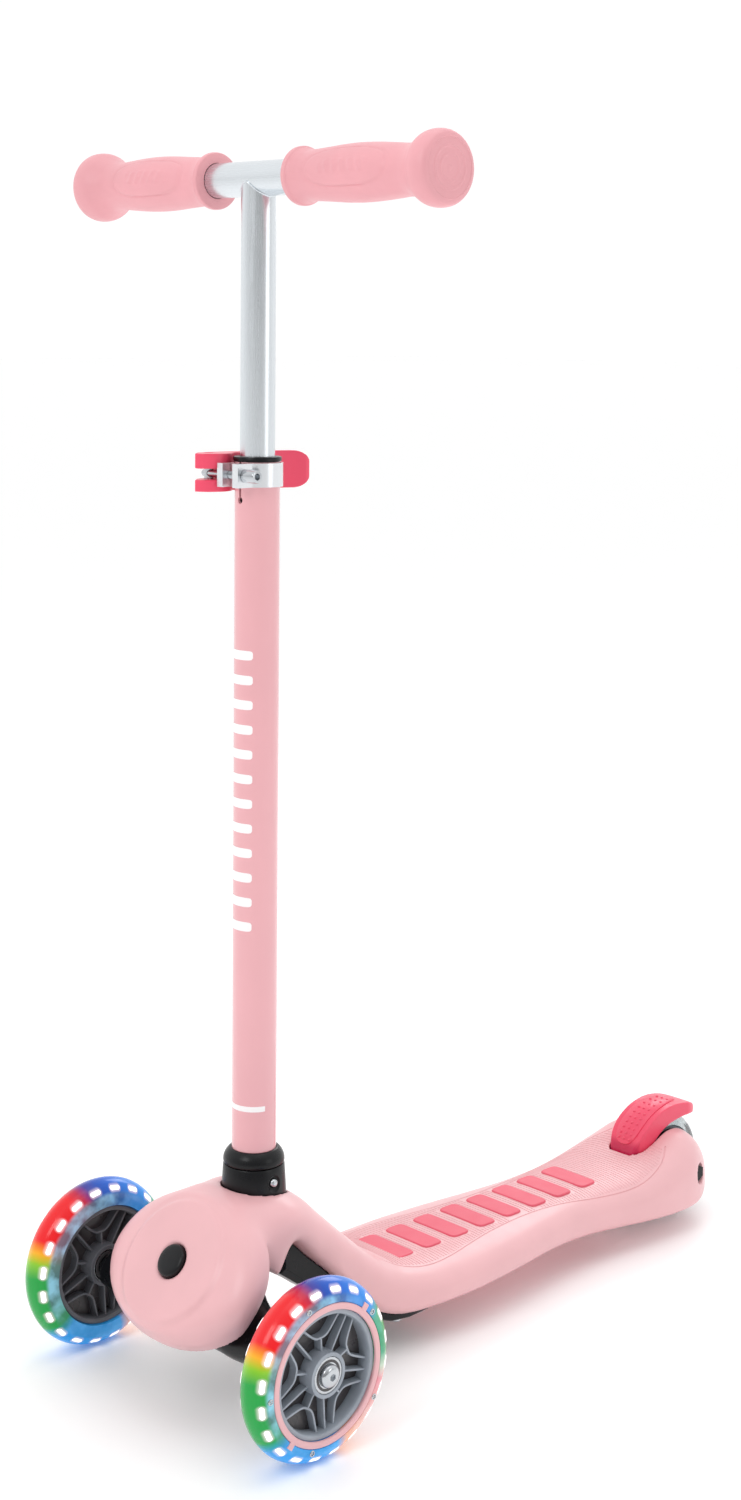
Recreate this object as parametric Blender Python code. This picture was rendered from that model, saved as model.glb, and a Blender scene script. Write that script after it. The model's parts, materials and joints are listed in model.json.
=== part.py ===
"""Kick scooter for a small child: two front wheels on a leaning truck, one braked rear wheel.

Metres, +Z up. The rider faces -Y, and the rider's left is +X.
Lengths are first given from the steering column's axis, then moved by SHIFT.
"""
import math

import bmesh
import bpy
from mathutils import Matrix, Vector

# From the column's axis to the middle of the overall box, at ground level.
SHIFT = Vector((0.0, -0.17455, -0.0037))

# Nose disc and the kingpin, which is square to it.
NOSE = Vector((0.0, -0.0676, 0.0982))
KING = Vector((0.0, -0.8, 0.6))
RISE = Vector((0.0, 0.6, 0.8))
NOSE_R = 0.056
NOSE_WIDER = 0.20
NOSE_LOWER = -0.19
NOSE_UPPER = -0.10

# Front wheels.
FRONT_R = 0.0550
FRONT_X = 0.1076
FRONT_Y = -0.0444
FRONT_Z = 0.0587
TYRE_HALF = 0.0120
DECK_TOP = 0.0545
PAD_TOP = 0.0554

# Rear wheel.
REAR_R = 0.0385
REAR_Z = 0.0422
REAR_Y = 0.410
REAR_HALF = 0.0110

# Axles and bearings.
PIN_R = 0.00395
BORE_R = 0.00405
BEARING_R = 0.0110

# Column tubes.
OUTER_R = 0.0143
OUTER_IN = 0.0125
INNER_R = 0.0111
INNER_IN = 0.0096
OUTER_LOW = 0.1090
OUTER_TOP = 0.5950
INNER_LOW = 0.4900
BAR_Z = 0.7715

# Quick-release clamp.
CLAMP_Z = 0.5870
CLAMP_HALF = 0.0075
BAND_R = 0.0163
EAR_IN = 0.0047
EAR_OUT = 0.0100
EAR_TIP = -0.0247
BOLT_Y = -0.0185
LEVER_P = Vector((-0.0255, BOLT_Y, CLAMP_Z))

# Brake.
BRAKE_Y = 0.3600
BRAKE_Z = 0.0400
PEDAL_HALF = 0.0150
PEDAL_GAP_R = 0.0415

ROUND = 24
WHEEL_ROUND = 32

# Deck and neck: Y, half width, top, underside, roundness of the top.
STATIONS = (
    (-0.055, 0.0430, 0.1100, 0.0860, 2.8),
    (-0.040, 0.0455, 0.1290, 0.0790, 3.0),
    (-0.028, 0.0460, 0.1322, 0.0780, 3.0),
    (-0.018, 0.0460, 0.1315, 0.0800, 3.0),
    (-0.010, 0.0455, 0.1310, 0.0920, 3.0),
    (-0.003, 0.0450, 0.1300, 0.1030, 3.0),
    (0.004, 0.0440, 0.1290, 0.1015, 3.0),
    (0.012, 0.0430, 0.1270, 0.0945, 2.9),
    (0.022, 0.0420, 0.1220, 0.0845, 2.8),
    (0.035, 0.0415, 0.1100, 0.0730, 2.8),
    (0.048, 0.0420, 0.0980, 0.0605, 2.9),
    (0.060, 0.0440, 0.0870, 0.0480, 3.0),
    (0.072, 0.0465, 0.0760, 0.0375, 3.2),
    (0.085, 0.0490, 0.0660, 0.0320, 3.2),
    (0.100, 0.0520, 0.0590, 0.0300, 3.2),
    (0.120, 0.0548, 0.0553, 0.0300, 3.2),
    (0.143, 0.0558, DECK_TOP, 0.0300, 3.2),
    (0.166, 0.0550, DECK_TOP, 0.0300, 3.2),
    (0.200, 0.0515, DECK_TOP, 0.0300, 3.2),
    (0.235, 0.0465, DECK_TOP, 0.0298, 3.2),
    (0.262, 0.0435, DECK_TOP, 0.0288, 3.2),
    (0.290, 0.0430, DECK_TOP, 0.0272, 3.2),
    (0.317, 0.0455, 0.0548, 0.0252, 3.2),
    (0.345, 0.0495, 0.0558, 0.0235, 3.4),
    (0.366, 0.0510, 0.0590, 0.0222, 3.6),
    (0.385, 0.0500, 0.0645, 0.0208, 3.6),
    (0.400, 0.0475, 0.0705, 0.0200, 3.4),
    (0.412, 0.0430, 0.0710, 0.0200, 3.2),
    (0.424, 0.0360, 0.0660, 0.0210, 3.0),
    (0.434, 0.0285, 0.0570, 0.0225, 3.0),
    (0.442, 0.0215, 0.0460, 0.0245, 3.0),
    (0.4465, 0.0175, 0.0375, 0.0260, 3.0),
)

# Black housing under the neck: Y, half width, top, underside.
HOUSING = (
    (0.0065, 0.0240, 0.0985, 0.0740),
    (0.012, 0.0250, 0.0940, 0.0700),
    (0.022, 0.0260, 0.0840, 0.0625),
    (0.035, 0.0280, 0.0725, 0.0540),
    (0.048, 0.0300, 0.0600, 0.0455),
    (0.060, 0.0330, 0.0475, 0.0370),
    (0.072, 0.0370, 0.0370, 0.0300),
    (0.085, 0.0420, 0.0315, 0.0262),
    (0.100, 0.0435, 0.0296, 0.0250),
    (0.118, 0.0425, 0.0296, 0.0250),
    (0.130, 0.0360, 0.0296, 0.0250),
)
SCREWS = ((-0.036, 0.094), (-0.036, 0.115), (0.036, 0.094), (0.036, 0.115))

# Truck: X, then centre and half size along RISE and along KING.
TRUCK = (
    (0.000, -0.0110, -0.0440, 0.0225, 0.0155),
    (0.030, -0.0110, -0.0440, 0.0225, 0.0155),
    (0.040, -0.0135, -0.0437, 0.0205, 0.0148),
    (0.050, -0.0155, -0.0432, 0.0180, 0.0138),
    (0.065, -0.0172, -0.0426, 0.0150, 0.0126),
    (0.078, -0.0177, -0.0423, 0.0130, 0.0120),
    (0.088, -0.0177, -0.0423, 0.0121, 0.0117),
)

# Raised deck pads: centre Y and half length along Y.
PAD_PITCH = 0.0268
PAD_FIRST = 0.1190
PAD_COUNT = 8
PAD_HALF_X = 0.0210
PAD_HALF_Y = 0.0085

COLOURS = {
    "pink": (0.86, 0.53, 0.53),
    "grip_pink": (0.88, 0.56, 0.57),
    "coral": (0.92, 0.09, 0.16),
    "inlay": (0.95, 0.17, 0.24),
    "black": (0.015, 0.016, 0.019),
    "grey": (0.20, 0.21, 0.23),
    "silver": (0.70, 0.71, 0.73),
    "steel": (0.55, 0.56, 0.58),
    "clear": (0.55, 0.75, 0.90),
    "smoke": (0.45, 0.50, 0.52),
    "elastomer": (0.30, 0.28, 0.26),
}
METALS = {"silver", "steel"}


def clear_scene():
    """Remove every object, mesh and material that the scene starts with."""
    for obj in list(bpy.data.objects):
        bpy.data.objects.remove(obj, do_unlink=True)
    for mesh in list(bpy.data.meshes):
        bpy.data.meshes.remove(mesh)


def to_mesh(verts, faces):
    """A closed mesh with its faces turned outwards."""
    build = bmesh.new()
    made = [build.verts.new(v) for v in verts]
    for face in faces:
        build.faces.new([made[i] for i in face])
    bmesh.ops.recalc_face_normals(build, faces=build.faces)
    mesh = bpy.data.meshes.new("shape")
    build.to_mesh(mesh)
    build.free()
    return mesh


def basis(origin, axis):
    """Matrix whose Z is the axis, and whose X is as near world X as it can be."""
    z = Vector(axis).normalized()
    x = Vector((1, 0, 0)) if abs(z.x) < 0.9 else Vector((0, 1, 0))
    y = z.cross(x).normalized()
    x = y.cross(z).normalized()
    turned = Matrix((x, y, z)).transposed().to_4x4()
    return Matrix.Translation(Vector(origin)) @ turned


def revolve(profile, origin=(0, 0, 0), axis=(0, 0, 1), steps=ROUND, phase=0.5):
    """Turn (radius, height) points round the axis; a profile off the axis is a closed ring."""
    place = basis(origin, axis)
    rings = []
    verts = []
    for radius, height in profile:
        start = len(verts)
        if radius == 0:
            verts.append(place @ Vector((0, 0, height)))
            rings.append([start] * steps)
            continue
        for k in range(steps):
            turn = 2 * math.pi * (k + phase) / steps
            verts.append(place @ Vector((radius * math.cos(turn), radius * math.sin(turn), height)))
        rings.append(list(range(start, start + steps)))
    pairs = list(zip(rings, rings[1:]))
    if profile[0][0] > 0:
        pairs.append((rings[-1], rings[0]))
    faces = []
    for low, high in pairs:
        for k in range(steps):
            nxt = (k + 1) % steps
            face = [low[k], low[nxt], high[nxt], high[k]]
            face = [v for i, v in enumerate(face) if v not in face[:i]]
            if len(face) > 2:
                faces.append(face)
    return to_mesh(verts, faces)


def tube(inner, outer, low, high, origin=(0, 0, 0), axis=(0, 0, 1), steps=ROUND):
    """A plain ring."""
    profile = ((inner, low), (outer, low), (outer, high), (inner, high))
    return revolve(profile, origin, axis, steps)


def rod(radius, low, high, origin=(0, 0, 0), axis=(0, 0, 1), steps=ROUND):
    """A plain cylinder."""
    return revolve(((0, low), (radius, low), (radius, high), (0, high)), origin, axis, steps)


def box(low, high):
    """An upright box between two corners."""
    verts = [(x, y, z) for x in (low[0], high[0]) for y in (low[1], high[1]) for z in (low[2], high[2])]
    faces = ((0, 1, 3, 2), (4, 6, 7, 5), (0, 4, 5, 1), (2, 3, 7, 6), (0, 2, 6, 4), (1, 5, 7, 3))
    return to_mesh(verts, faces)


def loft(loops):
    """Join equal loops of points, and cap the two ends."""
    count = len(loops[0])
    verts = [point for loop in loops for point in loop]
    faces = [list(range(count)), list(range((len(loops) - 1) * count, len(loops) * count))]
    for k in range(len(loops) - 1):
        base = k * count
        for i in range(count):
            j = (i + 1) % count
            faces.append([base + i, base + j, base + count + j, base + count + i])
    return to_mesh(verts, faces)


def inset(outline, depth):
    """Move each corner of a smooth outline inwards along the mean of its two sides' normals."""
    area = sum(a[0] * b[1] - b[0] * a[1] for a, b in zip(outline, outline[1:] + outline[:1]))
    side = 1 if area > 0 else -1
    moved = []
    for i, here in enumerate(outline):
        before = Vector(here) - Vector(outline[i - 1])
        after = Vector(outline[(i + 1) % len(outline)]) - Vector(here)
        normal = Vector((-before.y, before.x)).normalized() + Vector((-after.y, after.x)).normalized()
        normal.normalize()
        moved.append(tuple(Vector(here) + side * depth * normal))
    return moved


def slab(outline, low, high, lift, edge=0.0):
    """Extrude a flat outline from low to high, its two rims eased by edge; lift places (u, v, w)."""
    outline = [tuple(point) for point in outline]
    if edge == 0:
        levels = ((low, outline), (high, outline))
    else:
        small = inset(outline, edge)
        levels = ((low, small), (low + edge, outline), (high - edge, outline), (high, small))
    return loft([[lift(u, v, w) for u, v in shape] for w, shape in levels])


def pill(half_x, half_y, radius, centre=(0.0, 0.0), corner=4):
    """A rectangle with round corners."""
    points = []
    for quarter, (sx, sy) in enumerate(((1, 1), (-1, 1), (-1, -1), (1, -1))):
        for k in range(corner + 1):
            turn = math.pi / 2 * (quarter + k / corner)
            x = centre[0] + sx * (half_x - radius) + radius * math.cos(turn)
            points.append((x, centre[1] + sy * (half_y - radius) + radius * math.sin(turn)))
    return points


def scratch(mesh):
    """A temporary object."""
    obj = bpy.data.objects.new("scratch", mesh)
    bpy.context.scene.collection.objects.link(obj)
    return obj


def combine(mesh, others, operation):
    """Boolean the other meshes into the first, one after another."""
    for other in others:
        base = scratch(mesh)
        tool = scratch(other)
        cut = base.modifiers.new("cut", "BOOLEAN")
        cut.operation = operation
        cut.solver = "EXACT"
        cut.object = tool
        bpy.context.view_layer.update()
        graph = bpy.context.evaluated_depsgraph_get()
        mesh = bpy.data.meshes.new_from_object(base.evaluated_get(graph))
        bpy.data.objects.remove(base, do_unlink=True)
        bpy.data.objects.remove(tool, do_unlink=True)
    return mesh


def joined(*meshes):
    """Union of meshes that overlap."""
    return combine(meshes[0], meshes[1:], "UNION")


def minus(mesh, *cutters):
    """The mesh less each cutter."""
    return combine(mesh, cutters, "DIFFERENCE")


def material(name, colour):
    """A Principled material of its own for each piece."""
    made = bpy.data.materials.new(name + "_mat")
    made.use_nodes = True
    shader = made.node_tree.nodes["Principled BSDF"]
    shader.inputs["Base Color"].default_value = (*COLOURS[colour], 1)
    shader.inputs["Metallic"].default_value = 1.0 if colour in METALS else 0.0
    shader.inputs["Roughness"].default_value = 0.3 if colour in METALS else 0.45
    made.diffuse_color = (*COLOURS[colour], 1)
    return made


def part(name, mesh, colour, origin=(0, 0, 0), smooth=True):
    """Make the named object with its origin at the given point."""
    origin = Vector(origin)
    mesh.transform(Matrix.Translation(-origin))
    mesh.name = name
    mesh.materials.clear()
    mesh.materials.append(material(name, colour))
    obj = bpy.data.objects.new(name, mesh)
    obj.location = origin + SHIFT
    bpy.context.scene.collection.objects.link(obj)
    if smooth:
        mesh.shade_smooth()
        mesh.set_sharp_from_angle(angle=math.radians(35))
    return obj


def on_king(x, rise, height):
    """Point from its X, its distance up the nose disc and its height along the kingpin."""
    return Vector((x, 0, 0)) + NOSE + rise * RISE + height * KING


def deck_loop(y, half, top, low, power):
    """Cross-section of the deck: flat below, a rounded top, the same points at each station."""
    right = [(0.6 * half, low), (half - 0.005, low), (half - 0.001, low + 0.003)]
    shoulder = low + 0.005
    for k in range(9):
        turn = math.pi / 2 * k / 9
        x = half * math.cos(turn) ** (2 / power)
        right.append((x, shoulder + (top - shoulder) * math.sin(turn) ** (2 / power)))
    left = [(-x, z) for x, z in reversed(right)]
    return [Vector((x, y, z)) for x, z in right + [(0, top)] + left + [(0, low)]]


def nose_dome():
    """The disc-shaped nose with its skirt, its hollow and the boss for the kingpin."""
    profile = (
        (0.0041, -0.0245), (0.0041, -0.0168), (0.0070, -0.0168), (0.0070, -0.0085),
        (0.0108, -0.0085), (0.0108, -0.0010), (0.0125, 0.0), (0.0300, 0.0002),
        (0.0400, -0.0006), (0.0430, -0.0013), (0.0480, -0.0035), (0.0525, -0.0078),
        (0.0552, -0.0125), (NOSE_R, -0.0175), (0.0556, -0.0245), (0.0520, -0.0245),
        (0.0515, -0.0140), (0.0450, -0.0078), (0.0145, -0.0062), (0.0145, -0.0245),
    )
    mesh = revolve(profile, NOSE, KING, 36)
    for vertex in mesh.vertices:
        away = vertex.co - NOSE
        rise = away.dot(RISE)
        share = max(0.0, min(1.0, (math.hypot(away.x, rise) - 0.036) / (NOSE_R - 0.036)))
        share = share * share * (3 - 2 * share)
        taller = NOSE_UPPER if rise > 0 else NOSE_LOWER
        vertex.co += share * (NOSE_WIDER * Vector((away.x, 0, 0)) + taller * rise * RISE)
    return mesh


def pad_outlines(grow=0.0):
    """Outline of each raised pad in the deck."""
    made = []
    for k in range(PAD_COUNT):
        middle = PAD_FIRST + k * PAD_PITCH
        made.append(pill(PAD_HALF_X + grow, PAD_HALF_Y + grow, 0.004 + grow, (0.0, middle), 2))
    return made


def flat(u, v, w):
    """Outline in X and Y, raised along Z."""
    return Vector((u, v, w))


def sideways(u, v, w):
    """Outline in Y and Z, raised along X."""
    return Vector((w, u, v))


def deck_shell():
    """Nose, neck and deck moulded as one, cut for the column, truck, inlay, brake and wheel."""
    body = joined(loft([deck_loop(*station) for station in STATIONS]), nose_dome())
    sweep = [on_king(x, rise, height) for x, rise, height in (
        (-0.1, -0.1, -0.20), (-0.1, -0.1, -0.0255), (-0.1, 0.022, -0.20), (-0.1, 0.022, -0.0255),
        (0.1, -0.1, -0.20), (0.1, -0.1, -0.0255), (0.1, 0.022, -0.20), (0.1, 0.022, -0.0255))]
    faces = ((0, 1, 3, 2), (4, 6, 7, 5), (0, 4, 5, 1), (2, 3, 7, 6), (0, 2, 6, 4), (1, 5, 7, 3))
    body = minus(body, to_mesh(sweep, faces))
    body = minus(body, rod(0.0325, -0.0635, -0.0259, NOSE, KING, 40))
    pin_hole = revolve(((0, -0.03), (0.0041, -0.03), (0.0041, -0.0168), (0.0070, -0.0168), (0.0070, -0.005),
                        (0, -0.005)), NOSE, KING, 36)
    body = minus(body, pin_hole)
    seat = revolve(((0, 0.1075), (0.01455, 0.1075), (0.01455, 0.1117), (0.0213, 0.1117), (0.0213, 0.2),
                    (0, 0.2)))
    body = minus(body, seat)
    body = minus(body, box((-0.032, 0.104, 0.0), (0.032, 0.328, 0.0502)))
    for outline in pad_outlines(0.0003):
        body = minus(body, slab(outline, 0.044, 0.065, flat))
    slot = [(0.3520, 0.0), (0.5, 0.0), (0.5, 0.1), (0.3650, 0.1), (0.3650, 0.0475), (0.3520, 0.0475)]
    body = minus(body, slab(slot, -0.0155, 0.0155, sideways))
    for x, y in SCREWS:
        body = minus(body, rod(0.0020, 0.02, 0.0420, (x, y, 0), steps=12))
    axle = (0, REAR_Y, REAR_Z)
    bore = revolve(((0, -0.06), (0.0075, -0.06), (0.0075, -0.0367), (0.00415, -0.0367),
                    (0.00415, 0.0367), (0.0075, 0.0367), (0.0075, 0.06), (0, 0.06)),
                   axle, (1, 0, 0), 24, 0.37)
    body = minus(body, bore)
    return minus(body, rod(0.0021, -0.0300, 0.0300, (0, BRAKE_Y, BRAKE_Z), (1, 0, 0), 16))


def frame_mouldings():
    """The fixed plastic pieces."""
    part("deck_shell", deck_shell(), "pink")
    loops = []
    for y, half, top, low in HOUSING:
        edge = 0.2 * (top - low)
        right = [(half - edge, low), (half, low + edge), (half, top - 0.0006), (half - 0.0006, top)]
        left = [(-x, z) for x, z in reversed(right)]
        loops.append([Vector((x, y, z)) for x, z in right + left])
    holes = [rod(0.0022, 0.01, 0.04, (x, y, 0), steps=12) for x, y in SCREWS]
    part("base_housing", minus(loft(loops), *holes), "black")
    inlay = box((-0.030, 0.106, 0.0480), (0.030, 0.326, 0.0498))
    inlay = joined(inlay, *[slab(outline, 0.0490, PAD_TOP, flat, 0.0006) for outline in pad_outlines()])
    part("deck_inlay", inlay, "inlay")
    for number, (x, y) in enumerate(SCREWS, 1):
        head = ((0, 0.0226), (0.0030, 0.0226), (0.0040, 0.0236), (0.0040, 0.0246))
        screw = revolve(head + ((0.0018, 0.0246), (0.0018, 0.0410), (0, 0.0410)), (x, y, 0), steps=12)
        part(f"housing_screw_{number}", screw, "steel", (x, y, 0.0246))


def column():
    """Collar, outer tube and the bush at its top."""
    socket = revolve((
        (0.01455, 0.1120), (0.0210, 0.1120), (0.0210, 0.1240), (0.0196, 0.1448), (0.01455, 0.1448)))
    socket = minus(socket, rod(0.0034, 0.010, 0.030, (0, 0, 0.1355), (1, 0, 0), 16))
    socket = minus(socket, rod(0.0056, 0.0190, 0.030, (0, 0, 0.1355), (1, 0, 0), 20))
    part("collar_socket", socket, "black")
    ring = revolve((
        (0.01455, 0.1452), (0.0188, 0.1452), (0.0197, 0.1462), (0.0195, 0.1490),
        (0.0182, 0.1520), (0.0160, 0.1545), (0.01455, 0.1550)))
    part("collar_ring", ring, "black")
    outer = tube(OUTER_IN, OUTER_R, OUTER_LOW, OUTER_TOP)
    outer = minus(outer, box((-0.0010, -0.02, 0.5715), (0.0010, -0.008, 0.60)))
    outer = minus(outer, rod(0.0021, 0.008, 0.02, (0, 0, 0.5710), (0, -1, 0), 16))
    outer = minus(outer, rod(0.0034, 0.008, 0.02, (0, 0, 0.1355), (1, 0, 0), 16))
    part("outer_tube", outer, "pink")
    bush = revolve((
        (0.0114, 0.5740), (0.01225, 0.5740), (0.01225, 0.5953), (0.0153, 0.5953),
        (0.0153, 0.5978), (0.0149, 0.5983), (0.0114, 0.5983)))
    part("tube_bush", bush, "black")
    button = revolve((
        (0, 0.0095), (0.0029, 0.0095), (0.0029, 0.0195), (0.0022, 0.0206), (0.0012, 0.0212),
        (0, 0.0214)), (0, 0, 0.1355), (1, 0, 0), 16)
    part("snap_button", button, "silver", (0.0195, 0, 0.1355))


def lever_corners():
    """What is cut from above and below the lever's tip to leave its end round in side view."""
    middle = CLAMP_Z + 0.0010
    cutters = []
    for side in (1, -1):
        outline = [(0.0375, middle + side * 0.03), (0.0375, middle + side * 0.0121)]
        for k in range(7):
            turn = math.pi / 2 * (1 - k / 8)
            outline.append((0.0405 + 0.0126 * math.cos(turn), middle + side * 0.0121 * math.sin(turn)))
        outline.extend([(0.0600, middle + side * 0.0020), (0.0600, middle + side * 0.03)])
        cutters.append(slab(outline, -0.03, 0.01, sideways))
    return cutters


def clamp():
    """Band, bolt, barrel and lever of the quick-release clamp."""
    low = CLAMP_Z - CLAMP_HALF
    high = CLAMP_Z + CLAMP_HALF
    band = rod(BAND_R, low, high)
    for side in (-1, 1):
        ends = sorted((side * 0.0030, side * EAR_OUT))
        band = joined(band, box((ends[0], EAR_TIP, low), (ends[1], -0.009, high)))
    band = minus(band, rod(0.0146, 0.5, 0.7), box((-EAR_IN, -0.05, 0.5), (EAR_IN, -0.008, 0.7)))
    middle = (0, BOLT_Y, CLAMP_Z)
    band = minus(band, rod(0.0027, -0.05, 0.05, middle, (1, 0, 0), 16))
    part("clamp_band", band, "silver")
    bolt = revolve((
        (0, -0.0312), (0.0012, -0.0310), (0.0023, -0.0300), (0.0025, -0.0285), (0.0025, 0.0103),
        (0.0042, 0.0103), (0.0042, 0.0206), (0.0036, 0.0214), (0.0023, 0.0214), (0.0023, 0.0175),
        (0, 0.0175)), middle, (1, 0, 0), 20)
    part("clamp_bolt", bolt, "silver", middle)
    barrel = rod(0.0030, -0.0102, 0.0102, LEVER_P, steps=24)
    barrel = minus(barrel, rod(0.0027, -0.01, 0.01, LEVER_P, (1, 0, 0), 16))
    part("clamp_barrel", barrel, "steel", LEVER_P)
    nose = []
    for k in range(9):
        turn = math.radians(-75 + 105 * k / 8)
        nose.append((LEVER_P.x + 0.0149 * math.cos(turn), LEVER_P.y + 0.0149 * math.sin(turn)))
    inner = [(-0.0172, -0.0050), (-0.0185, 0.0050), (-0.0180, 0.0160), (-0.0160, 0.0270),
             (-0.0128, 0.0370), (-0.0095, 0.0450), (-0.0078, 0.0490)]
    tip = [(-0.0080, 0.0515), (-0.0100, 0.0528), (-0.0124, 0.0518)]
    outer = [(-0.0160, 0.0450), (-0.0200, 0.0360), (-0.0238, 0.0260), (-0.0268, 0.0150),
             (-0.0290, 0.0030), (-0.0306, -0.0090), (-0.0312, -0.0185), (-0.0300, -0.0245),
             (-0.0266, -0.0280)]
    outline = nose + inner + tip + outer
    lever = slab(outline, CLAMP_Z - 0.0110, CLAMP_Z + 0.0130, flat, 0.0012)
    gap = box((-0.05, -0.05, CLAMP_Z - 0.0035), (0.0, -0.0105, CLAMP_Z + 0.0035))
    lever = minus(lever, gap, rod(0.0031, -0.02, 0.02, LEVER_P, steps=24), *lever_corners())
    part("clamp_lever", lever, "coral", LEVER_P)


def handlebar():
    """Sliding tube, cross tube, grips and the plug at the bottom of the sliding tube."""
    stem = tube(INNER_IN, INNER_R, INNER_LOW, BAR_Z)
    stem = minus(stem, rod(INNER_R + 0.0003, -0.05, 0.05, (0, 0, BAR_Z), (1, 0, 0)))
    part("inner_tube", stem, "silver", (0, 0, INNER_LOW))
    plug = revolve((
        (0, 0.4840), (0.0116, 0.4840), (0.0121, 0.4845), (0.0121, 0.4897), (0.0093, 0.4897),
        (0.0093, 0.5020), (0, 0.5020)))
    part("tube_plug", plug, "black", (0, 0, INNER_LOW))
    bar = tube(INNER_IN, INNER_R, -0.1625, 0.1625, (0, 0, BAR_Z), (1, 0, 0))
    part("handlebar_tube", bar, "silver", (0, 0, BAR_Z))
    profile = (
        (0.0114, 0.0400), (0.0176, 0.0400), (0.0181, 0.0406), (0.0181, 0.0432), (0.0170, 0.0450),
        (0.0160, 0.0490), (0.0157, 0.0540), (0.0165, 0.0680), (0.0175, 0.0830), (0.0178, 0.0965),
        (0.0174, 0.1095), (0.0164, 0.1240), (0.0156, 0.1345), (0.0163, 0.1415), (0.0190, 0.1475),
        (0.0218, 0.1525), (0.0230, 0.1575), (0.0226, 0.1623), (0.0208, 0.1653), (0.0180, 0.1665),
        (0, 0.1665), (0, 0.1635), (0.0114, 0.1635))
    for name, side in (("grip_left", 1), ("grip_right", -1)):
        grip = revolve(profile, (0, 0, BAR_Z), (side, 0, 0))
        part(name, grip, "grip_pink", (side * 0.1030, 0, BAR_Z))


def truck():
    """The leaning truck with its axle bolts, and the kingpin that it turns on."""
    loops = []
    for x, rise, height, half_rise, half_height in TRUCK[:0:-1]:
        loops.append((-x, rise, height, half_rise, half_height))
    loops.extend(TRUCK)
    shaped = []
    for x, rise, height, half_rise, half_height in loops:
        ring = []
        for k in range(16):
            turn = 2 * math.pi * k / 16
            c = math.cos(turn)
            s = math.sin(turn)
            u = half_rise * math.copysign(abs(c) ** 0.7, c)
            v = half_height * math.copysign(abs(s) ** 0.7, s)
            ring.append(on_king(x, rise + u, height + v))
        shaped.append(ring)
    hub = revolve((
        (0, -0.0620), (0.0270, -0.0620), (0.0300, -0.0590), (0.0300, -0.0295), (0.0285, -0.0275),
        (0, -0.0275)), NOSE, KING, 28)
    arm = joined(loft(shaped), hub)
    arm = minus(arm, rod(0.0068, -0.1, 0.1, NOSE, KING, 24))
    axle = Vector((0, FRONT_Y, FRONT_Z))
    for side in (1, -1):
        arm = minus(arm, rod(0.0042, 0.0610, 0.1, axle, (side, 0, 0), 20))
    part("truck_arm", arm, "black", NOSE)
    part("kingpin_bush", tube(BORE_R, 0.0066, -0.0618, -0.0277, NOSE, KING, 24), "steel", NOSE)
    pin = revolve((
        (0, -0.0700), (0.0078, -0.0700), (0.0085, -0.0690), (0.0085, -0.0636), (PIN_R, -0.0636),
        (PIN_R, -0.0112), (0, -0.0112)), NOSE, KING, 24)
    part("kingpin_bolt", pin, "steel", NOSE)
    nut = revolve(((0.0040, -0.0165), (0.0062, -0.0165), (0.0062, -0.0118), (0.0040, -0.0118)),
                  NOSE, KING, 6)
    nut = minus(nut, rod(0.0041, -0.1, 0.1, NOSE, KING, 24))
    part("kingpin_nut", nut, "steel", NOSE)
    for name, side in (("left", 1), ("right", -1)):
        bolt = revolve((
            (0, 0.0620), (PIN_R, 0.0620), (PIN_R, 0.1198), (0.0070, 0.1198), (0.0070, 0.1215),
            (0.0060, 0.1229), (0.0040, 0.1235), (0.0025, 0.1235), (0.0025, 0.1215), (0, 0.1215)),
            axle, (side, 0, 0), 24)
        part(f"axle_bolt_{name}", bolt, "steel", axle + Vector((side * FRONT_X, 0, 0)))
        spacer = tube(BORE_R, 0.0068, 0.0884, 0.0952, axle, (side, 0, 0), 24)
        part(f"axle_spacer_{name}", spacer, "black", axle + Vector((side * FRONT_X, 0, 0)))
        spring = rod(0.0060, -0.0240, -0.0092, on_king(side * 0.030, -0.010, 0), KING, 16)
        part(f"steer_spring_{name}", spring, "elastomer", on_king(side * 0.030, -0.010, -0.0166))
    button = revolve((
        (0, -0.0072), (0.0045, -0.0072), (0.0045, -0.0048), (0.0104, -0.0048), (0.0104, 0.0006),
        (0.0094, 0.0016), (0.0060, 0.0024), (0, 0.0027)), NOSE, KING, 32)
    part("steering_lock_button", button, "black", NOSE)


def wheel_core(rim_out, rim_in, half, hub_half, centre, axis):
    """Rim, hub, web and five ribs as one moulding."""
    ring = tube(rim_in, rim_out, -half, half, centre, axis, WHEEL_ROUND)
    web = revolve(((0.0121, -0.0015), (rim_in + 0.0012, -0.0015), (rim_in + 0.0012, 0.0015),
                   (0.0121, 0.0015)), centre, axis, WHEEL_ROUND, 0.23)
    core = joined(ring, web, tube(0.0112, 0.0132, -hub_half, hub_half, centre, axis, 20))
    place = basis(centre, axis)
    for k in range(5):
        turn = Matrix.Rotation(2 * math.pi * (k + 0.23) / 5, 4, "Z")
        rib = box((0.0124, -0.0012, -half + 0.0041), (rim_in + 0.0007, 0.0012, half - 0.0041))
        rib.transform(place @ turn)
        core = joined(core, rib)
    return core


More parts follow.
